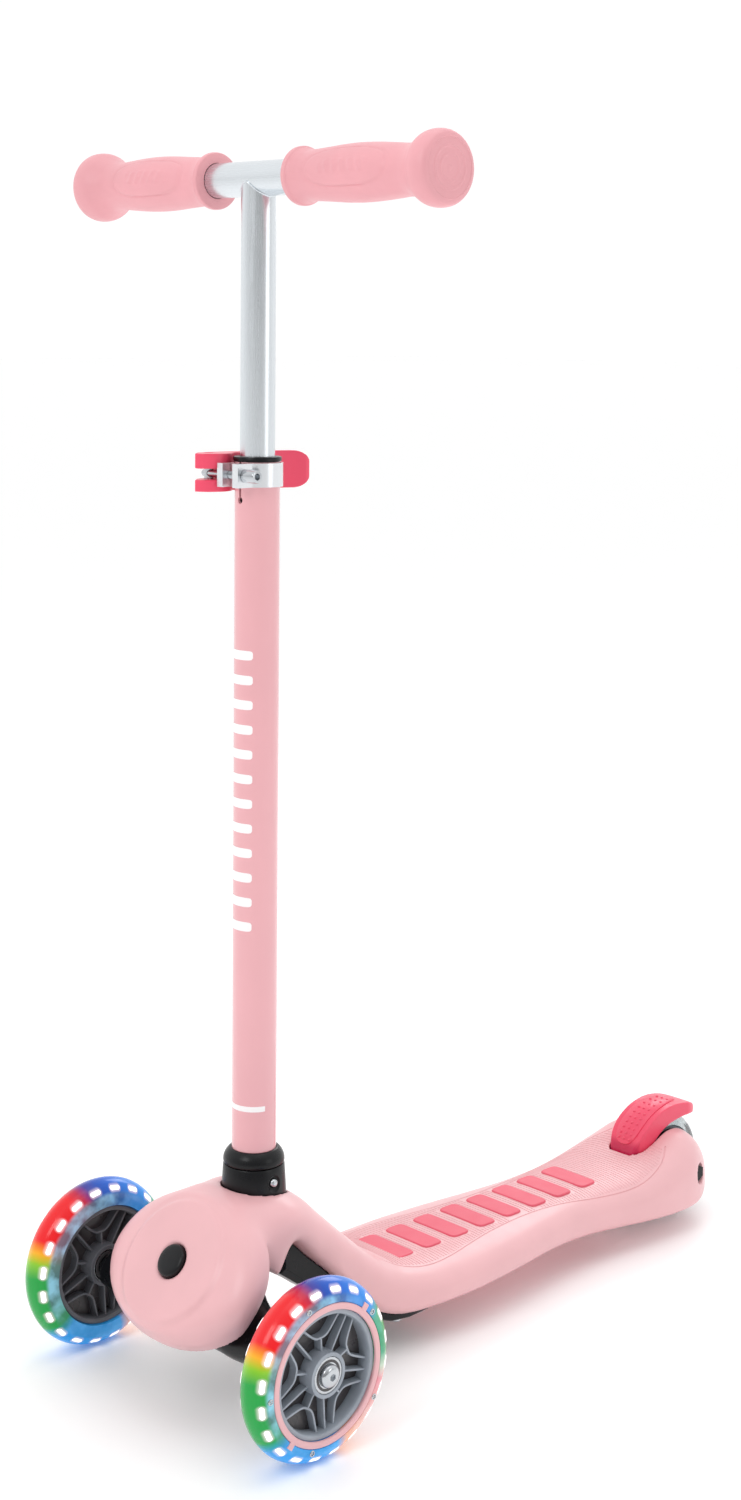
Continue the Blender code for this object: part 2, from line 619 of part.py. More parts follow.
def front_wheel(name, side):
    """Lit wheel: tyre, core, bearings, spacer, trim ring and light band."""
    centre = Vector((side * FRONT_X, FRONT_Y, FRONT_Z))
    out = (side, 0, 0)
    radius = FRONT_R / math.cos(math.pi / WHEEL_ROUND)
    tyre = revolve((
        (0.0395, -TYRE_HALF), (0.0440, -TYRE_HALF), (0.0478, -0.0110), (0.0512, -0.0086),
        (0.0537, -0.0052), (radius, 0.0), (0.0537, 0.0052), (0.0512, 0.0086), (0.0478, 0.0110),
        (0.0448, TYRE_HALF), (0.0433, TYRE_HALF), (0.0433, 0.0104), (0.0395, 0.0104),
        (0.0395, 0.0052), (0.0430, 0.0052), (0.0430, -0.0052), (0.0395, -0.0052)),
        centre, out, WHEEL_ROUND)
    part(f"front_{name}_tyre", tyre, "clear", centre)
    core = wheel_core(0.0391, 0.0352, 0.0104, 0.0122, centre, out)
    part(f"front_{name}_core", core, "grey", centre)
    band = tube(0.0395, 0.0427, -0.0048, 0.0048, centre, out, WHEEL_ROUND)
    part(f"front_{name}_light_band", band, "smoke", centre)
    trim = revolve((
        (0.0388, 0.0107), (0.0429, 0.0107), (0.0429, 0.0119), (0.0421, 0.0125), (0.0394, 0.0125),
        (0.0388, 0.0119)), centre, out, WHEEL_ROUND)
    part(f"front_{name}_trim_ring", trim, "pink", centre)
    bearings(f"front_{name}", centre, out, 0.0049, 0.0119)


def bearings(name, centre, axis, near, far):
    """Two ball bearings, each closed by its shields, and the sleeve between them."""
    for label, low, high in (("outer", near, far), ("inner", -far, -near)):
        ring = tube(BORE_R, BEARING_R, low, high, centre, axis, 20)
        part(f"{name}_bearing_{label}", ring, "steel", centre)
    sleeve = tube(BORE_R, 0.0058, -near + 0.0002, near - 0.0002, centre, axis, 16)
    part(f"{name}_sleeve", sleeve, "silver", centre)


def rear_wheel():
    """Rear wheel and its fixed axle."""
    centre = Vector((0, REAR_Y, REAR_Z))
    out = (1, 0, 0)
    radius = REAR_R / math.cos(math.pi / WHEEL_ROUND)
    tyre = revolve((
        (0.0285, -REAR_HALF), (0.0322, -REAR_HALF), (0.0353, -0.0092), (0.0374, -0.0052),
        (radius, 0.0), (0.0374, 0.0052), (0.0353, 0.0092), (0.0322, REAR_HALF),
        (0.0285, REAR_HALF)), centre, out, WHEEL_ROUND)
    part("rear_tyre", tyre, "smoke", centre)
    part("rear_core", wheel_core(0.0282, 0.0250, 0.0102, 0.0110, centre, out), "grey", centre)
    bearings("rear", centre, out, 0.0039, 0.0109)
    bolt = revolve((
        (0, -0.0408), (0.0050, -0.0408), (0.0064, -0.0398), (0.0064, -0.0371), (PIN_R, -0.0371),
        (PIN_R, 0.0412), (0, 0.0412)), centre, out, 24)
    part("rear_axle_bolt", bolt, "steel", centre)
    nut = tube(0.0040, 0.0064, 0.0371, 0.0408, centre, out, 6)
    nut = minus(nut, rod(BORE_R, -0.1, 0.1, centre, out, 24))
    part("rear_axle_nut", nut, "steel", centre)
    for name, side in (("left", 1), ("right", -1)):
        spacer = tube(BORE_R, 0.0062, 0.0113, 0.0151, centre, (side, 0, 0), 24)
        part(f"rear_spacer_{name}", spacer, "black", centre)


def brake():
    """Fender brake over the rear wheel, its pin and its return spring."""
    pivot = Vector((0, BRAKE_Y, BRAKE_Z))
    under = [
        (0.3655, 0.0400), (0.3790, 0.0530), (0.3850, 0.0590), (0.3890, 0.0640), (0.3960, 0.0694),
        (0.4050, 0.0735), (0.4150, 0.0755), (0.4240, 0.0762), (0.4314, 0.0756), (0.4380, 0.0744)]
    over = [
        (0.4430, 0.0740), (0.4460, 0.0757), (0.4460, 0.0782), (0.4425, 0.0806), (0.4360, 0.0836),
        (0.4268, 0.0862), (0.4121, 0.0878), (0.3978, 0.0858), (0.3870, 0.0814), (0.3790, 0.0758),
        (0.3728, 0.0695), (0.3695, 0.0640), (0.3677, 0.0580), (0.3664, 0.0500), (0.3658, 0.0468)]
    foot = [
        (0.3640, 0.0460), (0.3600, 0.0456), (0.3561, 0.0439), (0.3545, 0.0400), (0.3561, 0.0361),
        (0.3600, 0.0345), (0.3639, 0.0361)]
    pedal = slab(under + over + foot, -PEDAL_HALF, PEDAL_HALF, sideways, 0.0009)
    axle = (0, REAR_Y, REAR_Z)
    pedal = minus(pedal, rod(PEDAL_GAP_R, -0.0120, 0.0120, axle, (1, 0, 0), 48))
    pedal = minus(pedal, box((0.0095, 0.350, 0.030), (0.030, 0.3700, 0.0480)))
    for side in (1, -1):
        corner = [(side * 0.0300, 0.3600), (side * 0.0118, 0.3600), (side * 0.0118, 0.3665),
                  (side * 0.0136, 0.3690), (side * 0.0146, 0.3730), (side * 0.0152, 0.3790),
                  (side * 0.0300, 0.3790)]
        pedal = minus(pedal, slab(corner, 0.0485, 0.1, flat))
        corner = [(side * 0.0300, 0.4300), (side * 0.0154, 0.4300), (side * 0.0148, 0.4345),
                  (side * 0.0130, 0.4390), (side * 0.0100, 0.4430), (side * 0.0060, 0.4470),
                  (side * 0.0060, 0.4600), (side * 0.0300, 0.4600)]
        pedal = minus(pedal, slab(corner, 0.0600, 0.1, flat))
    pedal = minus(pedal, rod(0.0021, -0.05, 0.05, pivot, (1, 0, 0), 16))
    part("brake_pedal", pedal, "coral", pivot)
    part("brake_pin", rod(0.0019, -0.0290, 0.0290, pivot, (1, 0, 0), 16), "steel", pivot)
    loops = []
    for k in range(31):
        turn = 2 * math.pi * k / 10
        centre = Vector((0.0103 + 0.0045 * k / 30, 0.0031 * math.cos(turn), 0.0031 * math.sin(turn)))
        out = Vector((0, math.cos(turn), math.sin(turn)))
        ring = []
        for i in range(5):
            spin = 2 * math.pi * i / 5
            ring.append(pivot + centre + 0.0005 * (math.cos(spin) * out + Vector((math.sin(spin), 0, 0))))
        loops.append(ring)
    part("brake_spring", loft(loops), "steel", pivot)


def main():
    """Build every piece."""
    clear_scene()
    frame_mouldings()
    column()
    clamp()
    handlebar()
    truck()
    front_wheel("left", 1)
    front_wheel("right", -1)
    rear_wheel()
    brake()


main()
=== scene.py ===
"""The finished look of the small kick scooter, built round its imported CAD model.

Metres, +Z up, the rider faces -Y and the rider's left is +X. Shapes are given from the steering
column's axis, as in the CAD source, and moved by SHIFT. Round pieces are turned finely, moulded
pieces are joined, cut and remeshed into soft-edged skins, and small hardware is the CAD's own
with its edges broken. Every material is built from nodes.
"""

import json
import math

import bmesh
import bpy
from mathutils import Matrix, Vector
from mathutils.bvhtree import BVHTree

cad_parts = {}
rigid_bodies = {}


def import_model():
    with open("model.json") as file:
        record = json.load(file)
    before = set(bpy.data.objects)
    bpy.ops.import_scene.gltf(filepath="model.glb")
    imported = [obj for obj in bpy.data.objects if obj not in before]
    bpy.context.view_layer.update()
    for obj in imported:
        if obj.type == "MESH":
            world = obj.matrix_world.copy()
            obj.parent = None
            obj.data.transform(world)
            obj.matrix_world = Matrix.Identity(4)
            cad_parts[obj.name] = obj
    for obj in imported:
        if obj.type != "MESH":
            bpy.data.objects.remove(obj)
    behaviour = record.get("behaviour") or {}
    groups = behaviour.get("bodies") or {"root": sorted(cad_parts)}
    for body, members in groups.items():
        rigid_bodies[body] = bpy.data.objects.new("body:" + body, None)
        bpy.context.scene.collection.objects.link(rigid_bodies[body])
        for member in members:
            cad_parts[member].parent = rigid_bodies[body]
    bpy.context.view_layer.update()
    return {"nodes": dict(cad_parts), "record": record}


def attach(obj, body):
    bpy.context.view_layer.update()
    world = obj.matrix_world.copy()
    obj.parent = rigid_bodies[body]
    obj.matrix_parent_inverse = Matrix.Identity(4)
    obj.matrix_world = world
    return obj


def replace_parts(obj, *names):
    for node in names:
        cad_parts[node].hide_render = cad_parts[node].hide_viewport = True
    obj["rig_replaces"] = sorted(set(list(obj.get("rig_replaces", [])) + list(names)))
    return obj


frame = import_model()

SHIFT = Vector((0.0, -0.17455, -0.0037))

# Nose disc and kingpin.
NOSE = Vector((0.0, -0.0676, 0.0982))
KING = Vector((0.0, -0.8, 0.6))
RISE = Vector((0.0, 0.6, 0.8))
NOSE_R = 0.056
NOSE_WIDER = 0.20
NOSE_LOWER = -0.19
NOSE_UPPER = -0.10

# Front and rear wheels.
FRONT = Vector((0.1076, -0.0444, 0.0587))
FRONT_R = 0.0550
TYRE_HALF = 0.0120
REAR = Vector((0.0, 0.410, 0.0422))
REAR_R = 0.0385
REAR_HALF = 0.0110
DECK_TOP = 0.0545

# Column, clamp and handlebar.
OUTER_R = 0.0143
OUTER_IN = 0.0125
INNER_R = 0.0111
INNER_IN = 0.0096
OUTER_LOW = 0.1090
OUTER_TOP = 0.5950
INNER_LOW = 0.4900
BAR_Z = 0.7715
CLAMP_Z = 0.5870
CLAMP_HALF = 0.0075
BAND_R = 0.0163
EAR_IN = 0.0047
EAR_OUT = 0.0100
EAR_TIP = -0.0247
BOLT_Y = -0.0185
LEVER_P = Vector((-0.0255, BOLT_Y, CLAMP_Z))
SNAP_Z = 0.1355
SNAP_HOLE_R = 0.0034

# Brake pedal.
PIVOT = Vector((0.0, 0.3600, 0.0400))
PEDAL_HALF = 0.0150
PEDAL_GAP_R = 0.0415
BRAKE_PIN_R = 0.0021

# Sides of a finely turned piece.
FINE = 96

# Deck and neck: Y, half width, top, underside, roundness of the top.
STATIONS = (
    (-0.055, 0.0430, 0.1100, 0.0860, 2.8),
    (-0.040, 0.0455, 0.1290, 0.0790, 3.0),
    (-0.028, 0.0460, 0.1322, 0.0780, 3.0),
    (-0.018, 0.0460, 0.1315, 0.0800, 3.0),
    (-0.010, 0.0455, 0.1310, 0.0920, 3.0),
    (-0.003, 0.0450, 0.1300, 0.1030, 3.0),
    (0.004, 0.0440, 0.1290, 0.1015, 3.0),
    (0.012, 0.0430, 0.1270, 0.0945, 2.9),
    (0.022, 0.0420, 0.1220, 0.0845, 2.8),
    (0.035, 0.0415, 0.1100, 0.0730, 2.8),
    (0.048, 0.0420, 0.0980, 0.0605, 2.9),
    (0.060, 0.0440, 0.0870, 0.0480, 3.0),
    (0.072, 0.0465, 0.0760, 0.0375, 3.2),
    (0.085, 0.0490, 0.0660, 0.0320, 3.2),
    (0.100, 0.0520, 0.0590, 0.0300, 3.2),
    (0.120, 0.0548, 0.0553, 0.0300, 3.2),
    (0.143, 0.0558, DECK_TOP, 0.0300, 3.2),
    (0.166, 0.0550, DECK_TOP, 0.0300, 3.2),
    (0.200, 0.0515, DECK_TOP, 0.0300, 3.2),
    (0.235, 0.0465, DECK_TOP, 0.0298, 3.2),
    (0.262, 0.0435, DECK_TOP, 0.0288, 3.2),
    (0.290, 0.0430, DECK_TOP, 0.0272, 3.2),
    (0.317, 0.0455, 0.0548, 0.0252, 3.2),
    (0.345, 0.0495, 0.0558, 0.0235, 3.4),
    (0.366, 0.0510, 0.0590, 0.0222, 3.6),
    (0.385, 0.0500, 0.0645, 0.0208, 3.6),
    (0.400, 0.0475, 0.0705, 0.0200, 3.4),
    (0.412, 0.0430, 0.0710, 0.0200, 3.2),
    (0.424, 0.0360, 0.0660, 0.0210, 3.0),
    (0.434, 0.0285, 0.0570, 0.0225, 3.0),
    (0.442, 0.0215, 0.0460, 0.0245, 3.0),
    (0.4465, 0.0175, 0.0375, 0.0260, 3.0),
)

# Border line moulded in the deck: Y and half width.
BORDER = (
    (0.0840, 0.0140), (0.0900, 0.0260), (0.1050, 0.0350), (0.1250, 0.0385), (0.1500, 0.0365),
    (0.1900, 0.0290), (0.2300, 0.0255), (0.2650, 0.0275), (0.3000, 0.0345), (0.3400, 0.0400),
    (0.3700, 0.0360), (0.3880, 0.0260),
)

# Truck: X, then centre and half size along RISE and along KING.
TRUCK = (
    (0.000, -0.0110, -0.0440, 0.0225, 0.0155),
    (0.030, -0.0110, -0.0440, 0.0225, 0.0155),
    (0.040, -0.0135, -0.0437, 0.0205, 0.0148),
    (0.050, -0.0155, -0.0432, 0.0180, 0.0138),
    (0.065, -0.0172, -0.0426, 0.0150, 0.0126),
    (0.078, -0.0177, -0.0423, 0.0130, 0.0120),
    (0.088, -0.0177, -0.0423, 0.0121, 0.0117),
)

# Raised pads of the deck, in a row from front to rear.
PAD_TOP = 0.0554
PAD_PITCH = 0.0268
PAD_FIRST = 0.1190
PAD_COUNT = 8
PAD_HALF_X = 0.0210
PAD_HALF_Y = 0.0085


# ---------------------------------------------------------------- colours and materials

def linear(*srgb):
    """Linear colour of 0-255 display values."""
    shares = [value / 255 for value in srgb]
    return tuple(v / 12.92 if v <= 0.04045 else ((v + 0.055) / 1.055) ** 2.4 for v in shares) + (1,)


class Nodes:
    """A material's node tree, with one-line ways to add to it."""

    def __init__(self, name):
        self.material = bpy.data.materials.new(name)
        self.material.use_nodes = True
        self.tree = self.material.node_tree
        self.shader = self.tree.nodes["Principled BSDF"]

    def add(self, kind, **values):
        """A node of this kind, with properties set."""
        node = self.tree.nodes.new(kind)
        for key, value in values.items():
            setattr(node, key, value)
        return node

    def link(self, out, into):
        """Join two sockets."""
        self.tree.links.new(out, into)

    def feed(self, socket, value):
        """Link a socket or set a plain value."""
        if isinstance(value, bpy.types.NodeSocket):
            self.link(value, socket)
        else:
            socket.default_value = value

    def where(self):
        """Coordinates of the piece itself."""
        return self.add("ShaderNodeTexCoord").outputs["Object"]

    def split(self):
        """X, Y and Z of the piece's coordinates."""
        node = self.add("ShaderNodeSeparateXYZ")
        self.link(self.where(), node.inputs[0])
        return node.outputs

    def math(self, operation, a, b=0.0):
        """Arithmetic on one or two values."""
        node = self.add("ShaderNodeMath", operation=operation)
        self.feed(node.inputs[0], a)
        self.feed(node.inputs[1], b)
        return node.outputs[0]

    def noise(self, scale):
        """Noise over the piece."""
        node = self.add("ShaderNodeTexNoise")
        node.inputs["Scale"].default_value = scale
        node.inputs["Detail"].default_value = 3.0
        self.link(self.where(), node.inputs["Vector"])
        return node.outputs["Fac"]

    def ranged(self, value, low, high, to_low, to_high, soft=False):
        """Value carried from one range to another, and held there."""
        node = self.add("ShaderNodeMapRange")
        if soft:
            node.interpolation_type = "SMOOTHSTEP"
        self.link(value, node.inputs["Value"])
        for name, number in (("From Min", low), ("From Max", high), ("To Min", to_low), ("To Max", to_high)):
            node.inputs[name].default_value = number
        return node.outputs["Result"]

    def mix(self, share, a, b):
        """Blend of two colours."""
        node = self.add("ShaderNodeMix", data_type="RGBA", blend_type="MIX")
        self.feed(node.inputs[0], share)
        self.feed(node.inputs[6], a)
        self.feed(node.inputs[7], b)
        return node.outputs[2]

    def length(self, a, b):
        """Length of a vector with these two parts."""
        squares = self.math("ADD", self.math("POWER", a, 2.0), self.math("POWER", b, 2.0))
        return self.math("POWER", squares, 0.5)

    def cloud(self, scale):
        """Soft patches from 0 to 1."""
        return self.ranged(self.noise(scale), 0.35, 0.65, 0.0, 1.0)

    def wobble(self, scale, amount):
        """Noise to either side of zero."""
        return self.math("MULTIPLY", self.math("SUBTRACT", self.noise(scale), 0.5), amount)

    def colour(self, value, *others):
        """Link the base colour, and any other inputs named, to this."""
        for name in ("Base Color",) + others:
            self.link(value, self.shader.inputs[name])

    def gloss(self, scale, low, high):
        """Roughness in patches between two values."""
        self.link(self.ranged(self.noise(scale), 0.3, 0.7, low, high), self.shader.inputs["Roughness"])

    def bump(self, height, strength, distance=0.0003):
        """Relief on the surface."""
        node = self.add("ShaderNodeBump")
        node.inputs["Strength"].default_value = strength
        node.inputs["Distance"].default_value = distance
        self.link(height, node.inputs["Height"])
        self.link(node.outputs["Normal"], self.shader.inputs["Normal"])

    def set(self, **values):
        """Plain values on the shader, their names given with underscores."""
        for key, value in values.items():
            self.shader.inputs[key.replace("_", " ")].default_value = value


def tinted(colour, factor):
    """The colour made lighter or darker."""
    return tuple(min(1.0, channel * factor) for channel in colour[:3]) + (1,)


def moulded(name, colour, rough=0.40, grain=1400.0, depth=0.12, mottle=0.05, coat=0.0, shine=0.5):
    """Moulded plastic: faint flow marks in its colour, a fine grain and an uneven gloss."""
    made = Nodes(name)
    made.colour(made.mix(made.cloud(28.0), tinted(colour, 1 - mottle), tinted(colour, 1 + mottle)))
    made.gloss(90.0, rough - 0.05, rough + 0.05)
    made.set(Coat_Weight=coat, Coat_Roughness=0.12, Specular_IOR_Level=shine)
    made.bump(made.noise(grain), depth)
    return made.material


def metal(name, colour, rough, stretch=(1.0, 1.0, 1.0)):
    """Drawn or turned metal with fine marks along one direction."""
    made = Nodes(name)
    mapping = made.add("ShaderNodeMapping")
    mapping.inputs["Scale"].default_value = tuple(1.0 / part for part in stretch)
    made.link(made.where(), mapping.inputs["Vector"])
    marks = made.add("ShaderNodeTexNoise")
    marks.inputs["Scale"].default_value = 2400.0
    marks.inputs["Detail"].default_value = 2.0
    made.link(mapping.outputs["Vector"], marks.inputs["Vector"])
    shade = made.ranged(marks.outputs["Fac"], 0.3, 0.7, 0.0, 1.0)
    made.colour(made.mix(shade, tinted(colour, 0.975), tinted(colour, 1.01)))
    patches = made.ranged(marks.outputs["Fac"], 0.3, 0.7, rough - 0.03, rough + 0.03)
    made.link(patches, made.shader.inputs["Roughness"])
    made.set(Metallic=1.0)
    made.bump(marks.outputs["Fac"], 0.03, 0.0001)
    return made.material


def paint(name, colour):
    """Satin paint on tube under a thin clear coat."""
    made = Nodes(name)
    made.colour(made.mix(made.cloud(14.0), tinted(colour, 0.975), tinted(colour, 1.02)))
    made.gloss(45.0, 0.30, 0.38)
    made.set(Coat_Weight=0.9, Coat_Roughness=0.10)
    made.bump(made.noise(500.0), 0.04)
    return made.material


# Colours round a lit tyre as turns from the top towards the front, seen from the rider's left.
GLOW = (
    (0.000, (6, 70, 170)), (0.020, (56, 46, 140)), (0.040, (180, 20, 60)), (0.060, (222, 16, 26)),
    (0.158, (226, 20, 28)), (0.180, (236, 168, 36)), (0.200, (130, 190, 40)), (0.226, (0, 152, 56)),
    (0.340, (0, 154, 66)), (0.368, (0, 150, 228)), (0.530, (0, 156, 236)), (0.560, (250, 166, 108)),
    (0.620, (248, 192, 184)), (0.690, (236, 110, 112)), (0.722, (206, 222, 196)), (0.752, (4, 150, 66)),
    (0.842, (4, 152, 70)), (0.870, (0, 140, 230)), (0.965, (6, 92, 196)), (1.000, (6, 70, 170)),
)

# Lit dashes of a front tyre: number, radius of their circle, half length, half width, distance from the
# wheel's middle plane and tilt. Then the side on which the tyre looks clear.
DASHES = 20
DASH_R = 0.0504
DASH_HALF = 0.0041
DASH_WIDE = 0.0017
DASH_X = 0.0092
DASH_SLOPE = math.radians(54)
CLEAR_TURN = math.radians(52)


def glow_ramp(made, share):
    """Colours of GLOW at this share of a turn."""
    ramp = made.add("ShaderNodeValToRGB")
    stops = ramp.color_ramp.elements
    for stop, (place, colour) in zip(stops, (GLOW[0], GLOW[-1])):
        stop.position = place
        stop.color = linear(*colour)
    for place, colour in GLOW[1:-1]:
        stops.new(place).color = linear(*colour)
    made.link(share, ramp.inputs[0])
    return ramp.outputs[0]


def clear_band(made, radius, turn):
    """How clear the tyre looks: most near its rim, on the side round CLEAR_TURN."""
    cloudy = made.math("ADD", radius, made.wobble(45.0, 0.004))
    near_rim = made.ranged(cloudy, 0.0462, 0.0496, 1.0, 0.0, soft=True)
    facing = made.math("COSINE", made.math("SUBTRACT", turn, CLEAR_TURN))
    return made.math("MULTIPLY", near_rim, made.ranged(facing, 0.1, 0.75, 0.22, 0.85, soft=True))


def dash_halo(made, radius, share):
    """Strength of the pale halo round the nearest dash."""
    cell = made.math("SUBTRACT", made.math("FRACT", made.math("MULTIPLY", share, float(DASHES))), 0.5)
    along = made.math("MULTIPLY", made.math("ABSOLUTE", cell), 2 * math.pi * DASH_R / DASHES)
    past = made.math("MAXIMUM", made.math("SUBTRACT", along, DASH_HALF - DASH_WIDE), 0.0)
    away = made.length(past, made.math("SUBTRACT", radius, DASH_R))
    return made.ranged(away, DASH_WIDE * 0.7, DASH_WIDE * 1.8, 0.55, 0.0, soft=True)


def lit_tyre(name, turned):
    """Clear polyurethane lit from inside: colours run round it, with a pale halo at each light."""
    made = Nodes(name)
    x, y, z = made.split()
    turn = made.math("ARCTAN2", made.math("MULTIPLY", y, -1.0), z)
    share = made.math("FRACT", made.math("ADD", made.math("DIVIDE", turn, 2 * math.pi), 1.0))
    radius = made.length(y, z)
    hue = made.math("FRACT", made.math("ADD", share, turned))
    colours = glow_ramp(made, made.math("ADD", hue, made.wobble(22.0, 0.03)))
    patches = made.ranged(made.noise(70.0), 0.4, 0.62, 0.0, 1.0)
    milky = made.mix(patches, linear(150, 208, 236), linear(84, 112, 130))
    tyre = made.mix(clear_band(made, radius, turn), colours, milky)
    glow = made.mix(dash_halo(made, radius, share), tyre, linear(255, 236, 240))
    made.colour(glow, "Emission Color")
    made.set(Emission_Strength=0.18, Roughness=0.2, Coat_Weight=0.2, Coat_Roughness=0.06, IOR=1.42)
    made.bump(made.noise(160.0), 0.05)
    return made.material


def pedal_painted_shade(name, colour, painted_shade_colour):
    """Plastic with painted shade: its colour is painted deeper low on its front, where it goes down into the
    slot and lies in shade.
    """
    made = Nodes(name)
    x, y, z = made.split()
    # Painted shade: the colour is deep low down at the front, and the plain colour above and behind.
    height = made.math("ADD", z, made.math("MULTIPLY", made.noise(60.0), 0.002))
    above = made.ranged(height, 0.0230, 0.0300, 0.0, 1.0, soft=True)
    behind = made.ranged(y, 0.0105, 0.0140, 0.0, 1.0, soft=True)
    share = made.math("MAXIMUM", above, behind)
    made.colour(made.mix(share, painted_shade_colour, colour))
    made.gloss(90.0, 0.30, 0.40)
    made.set(Coat_Weight=0.15, Coat_Roughness=0.12)
    made.bump(made.noise(1400.0), 0.12)
    return made.material


def glowing(name):
    """A white light with faint warm patches."""
    made = Nodes(name)
    cloud = made.ranged(made.noise(300.0), 0.3, 0.7, 0.0, 1.0)
    made.colour(made.mix(cloud, linear(255, 246, 248), linear(255, 255, 255)), "Emission Color")
    made.set(Emission_Strength=0.75, Roughness=0.2)
    made.bump(made.noise(600.0), 0.03)
    return made.material


def smoky(name):
    """Smoky clear polyurethane, through which the core shows."""
    made = Nodes(name)
    made.colour(made.mix(made.cloud(60.0), linear(150, 164, 168), linear(206, 216, 218)))
    made.gloss(80.0, 0.05, 0.12)
    made.set(Transmission_Weight=0.8, Coat_Weight=0.3, Coat_Roughness=0.05, IOR=1.40)
    made.bump(made.noise(220.0), 0.05)
    return made.material


def painted_shade_rim(name, side):
    """Grey wheel plastic with painted shade: the face turned inwards is painted darker, as shade, and the
    face turned outwards paler.
    """
    made = Nodes(name)
    outward = made.math("MULTIPLY", made.split()[0], float(side))
    cloud = made.cloud(60.0)
    pale = made.mix(cloud, linear(150, 158, 168), linear(164, 172, 182))
    # The darker grey is painted shade for the inward face.
    shaded_inner_face = made.mix(cloud, linear(88, 90, 96), linear(100, 102, 108))
    share = made.ranged(outward, -0.002, 0.002, 0.0, 1.0)
    made.colour(made.mix(share, shaded_inner_face, pale))
    made.gloss(90.0, 0.30, 0.42)
    made.bump(made.noise(1400.0), 0.12)
    return made.material


PINK = linear(236, 183, 187)
GRIP_PINK = linear(232, 164, 171)
CORAL = linear(240, 72, 104)
INLAY = linear(232, 96, 116)
BLACK = linear(16, 17, 20)


def make_materials():
    """Every material by its short name."""
    return {
        "pink": moulded("pink_satin_plastic", PINK, 0.36, coat=0.12, mottle=0.02),
        "pink_paint": paint("pink_tube_paint", linear(236, 172, 178)),
        "grip": moulded("soft_grip_pink", GRIP_PINK, 0.42, grain=1900.0, depth=0.18, mottle=0.03),
        "coral": moulded("coral_plastic", CORAL, 0.34, coat=0.15, mottle=0.02),
        # The pedal's deep crimson front is painted shade where it goes down into the slot.
        "pedal": pedal_painted_shade("coral_pedal_painted_shade", CORAL, linear(206, 22, 78)),
        "inlay": moulded("coral_inlay", INLAY, 0.46, grain=2200.0, depth=0.2, mottle=0.02),
        "black": moulded("black_satin_plastic", BLACK, 0.30, depth=0.10, mottle=0.12, shine=0.28),
        # The inward faces of the front wheel cores are painted darker, as shade.
        "rim_left": painted_shade_rim("grey_rim_left_painted_shade", 1),
        "rim_right": painted_shade_rim("grey_rim_right_painted_shade", -1),
        "rim": moulded("grey_rim_plastic", linear(112, 118, 126), 0.38, mottle=0.06),
        "web": moulded("dark_web_plastic", linear(66, 63, 65), 0.30, mottle=0.12, coat=0.2),
        "bar": metal("anodised_bar", linear(222, 227, 231), 0.26, (60.0, 1.0, 1.0)),
        "stem": metal("anodised_stem", linear(222, 227, 231), 0.26, (1.0, 1.0, 60.0)),
        "clamp": metal("tumbled_clamp", linear(232, 235, 238), 0.24),
        "steel": metal("plated_steel", linear(196, 200, 204), 0.18),
        "elastomer": moulded("elastomer", linear(150, 146, 140), 0.6, mottle=0.05),
        "smoke": smoky("smoky_polyurethane"),
        "light": glowing("white_light"),
        "lit_left": lit_tyre("lit_tyre_left", 0.0),
        "lit_right": lit_tyre("lit_tyre_right", -0.012),
        "white": moulded("white_print", linear(255, 252, 252), 0.40, mottle=0.005),
    }


BY_SLOT = {
    "pink_plastic": "pink", "pink_paint": "pink_paint", "grip_rubber": "grip", "coral_plastic": "coral",
    "inlay_plastic": "inlay", "black_plastic": "black", "grey_plastic": "rim", "aluminium": "clamp",
    "steel": "steel", "clear_tyre": "lit_left", "smoke_tyre": "smoke", "elastomer": "elastomer",
}
MATERIALS = make_materials()
BODY_OF = {n: b for b, nodes in frame["record"]["behaviour"]["bodies"].items() for n in nodes}
SLOT_OF = {row["node"]: row["material_slot"] for row in frame["record"]["subparts"]}


# ---------------------------------------------------------------- shapes

def to_mesh(verts, faces):
    """A closed mesh with its faces turned outwards."""
    build = bmesh.new()
    made = [build.verts.new(v) for v in verts]
    for face in faces:
        build.faces.new([made[i] for i in face])
    bmesh.ops.recalc_face_normals(build, faces=build.faces)
    mesh = bpy.data.meshes.new("shape")
    build.to_mesh(mesh)
    build.free()
    return mesh


def basis(origin, axis):
    """Matrix whose Z is the axis, and whose X is as near world X as it can be."""
    z = Vector(axis).normalized()
    x = Vector((1, 0, 0)) if abs(z.x) < 0.9 else Vector((0, 1, 0))
    y = z.cross(x).normalized()
    x = y.cross(z).normalized()
    turned = Matrix((x, y, z)).transposed().to_4x4()
    return Matrix.Translation(Vector(origin)) @ turned


def share_of(value, start, over):
    """0 up to start, 1 from start plus over, and even between them."""
    return min(1.0, max(0.0, (value - start) / over))


def spline(t, p, q, r, s):
    """Value at t, from 0 at q to 1 at r, of the smooth curve through p, q, r and s."""
    bend = (2 * p - 5 * q + 4 * r - s) * t ** 2
    return 0.5 * (2 * q + (r - p) * t + bend + (3 * q - p - 3 * r + s) * t ** 3)


def smooth_line(points, per=6):
    """A smooth curve through the points, with this many steps from one to the next."""
    last = len(points) - 1
    line = []
    for k in range(last):
        near = [points[max(0, min(last, i))] for i in range(k - 1, k + 3)]
        for step in range(per):
            line.append(tuple(spline(step / per, *values) for values in zip(*near)))
    line.append(tuple(points[-1]))
    return line


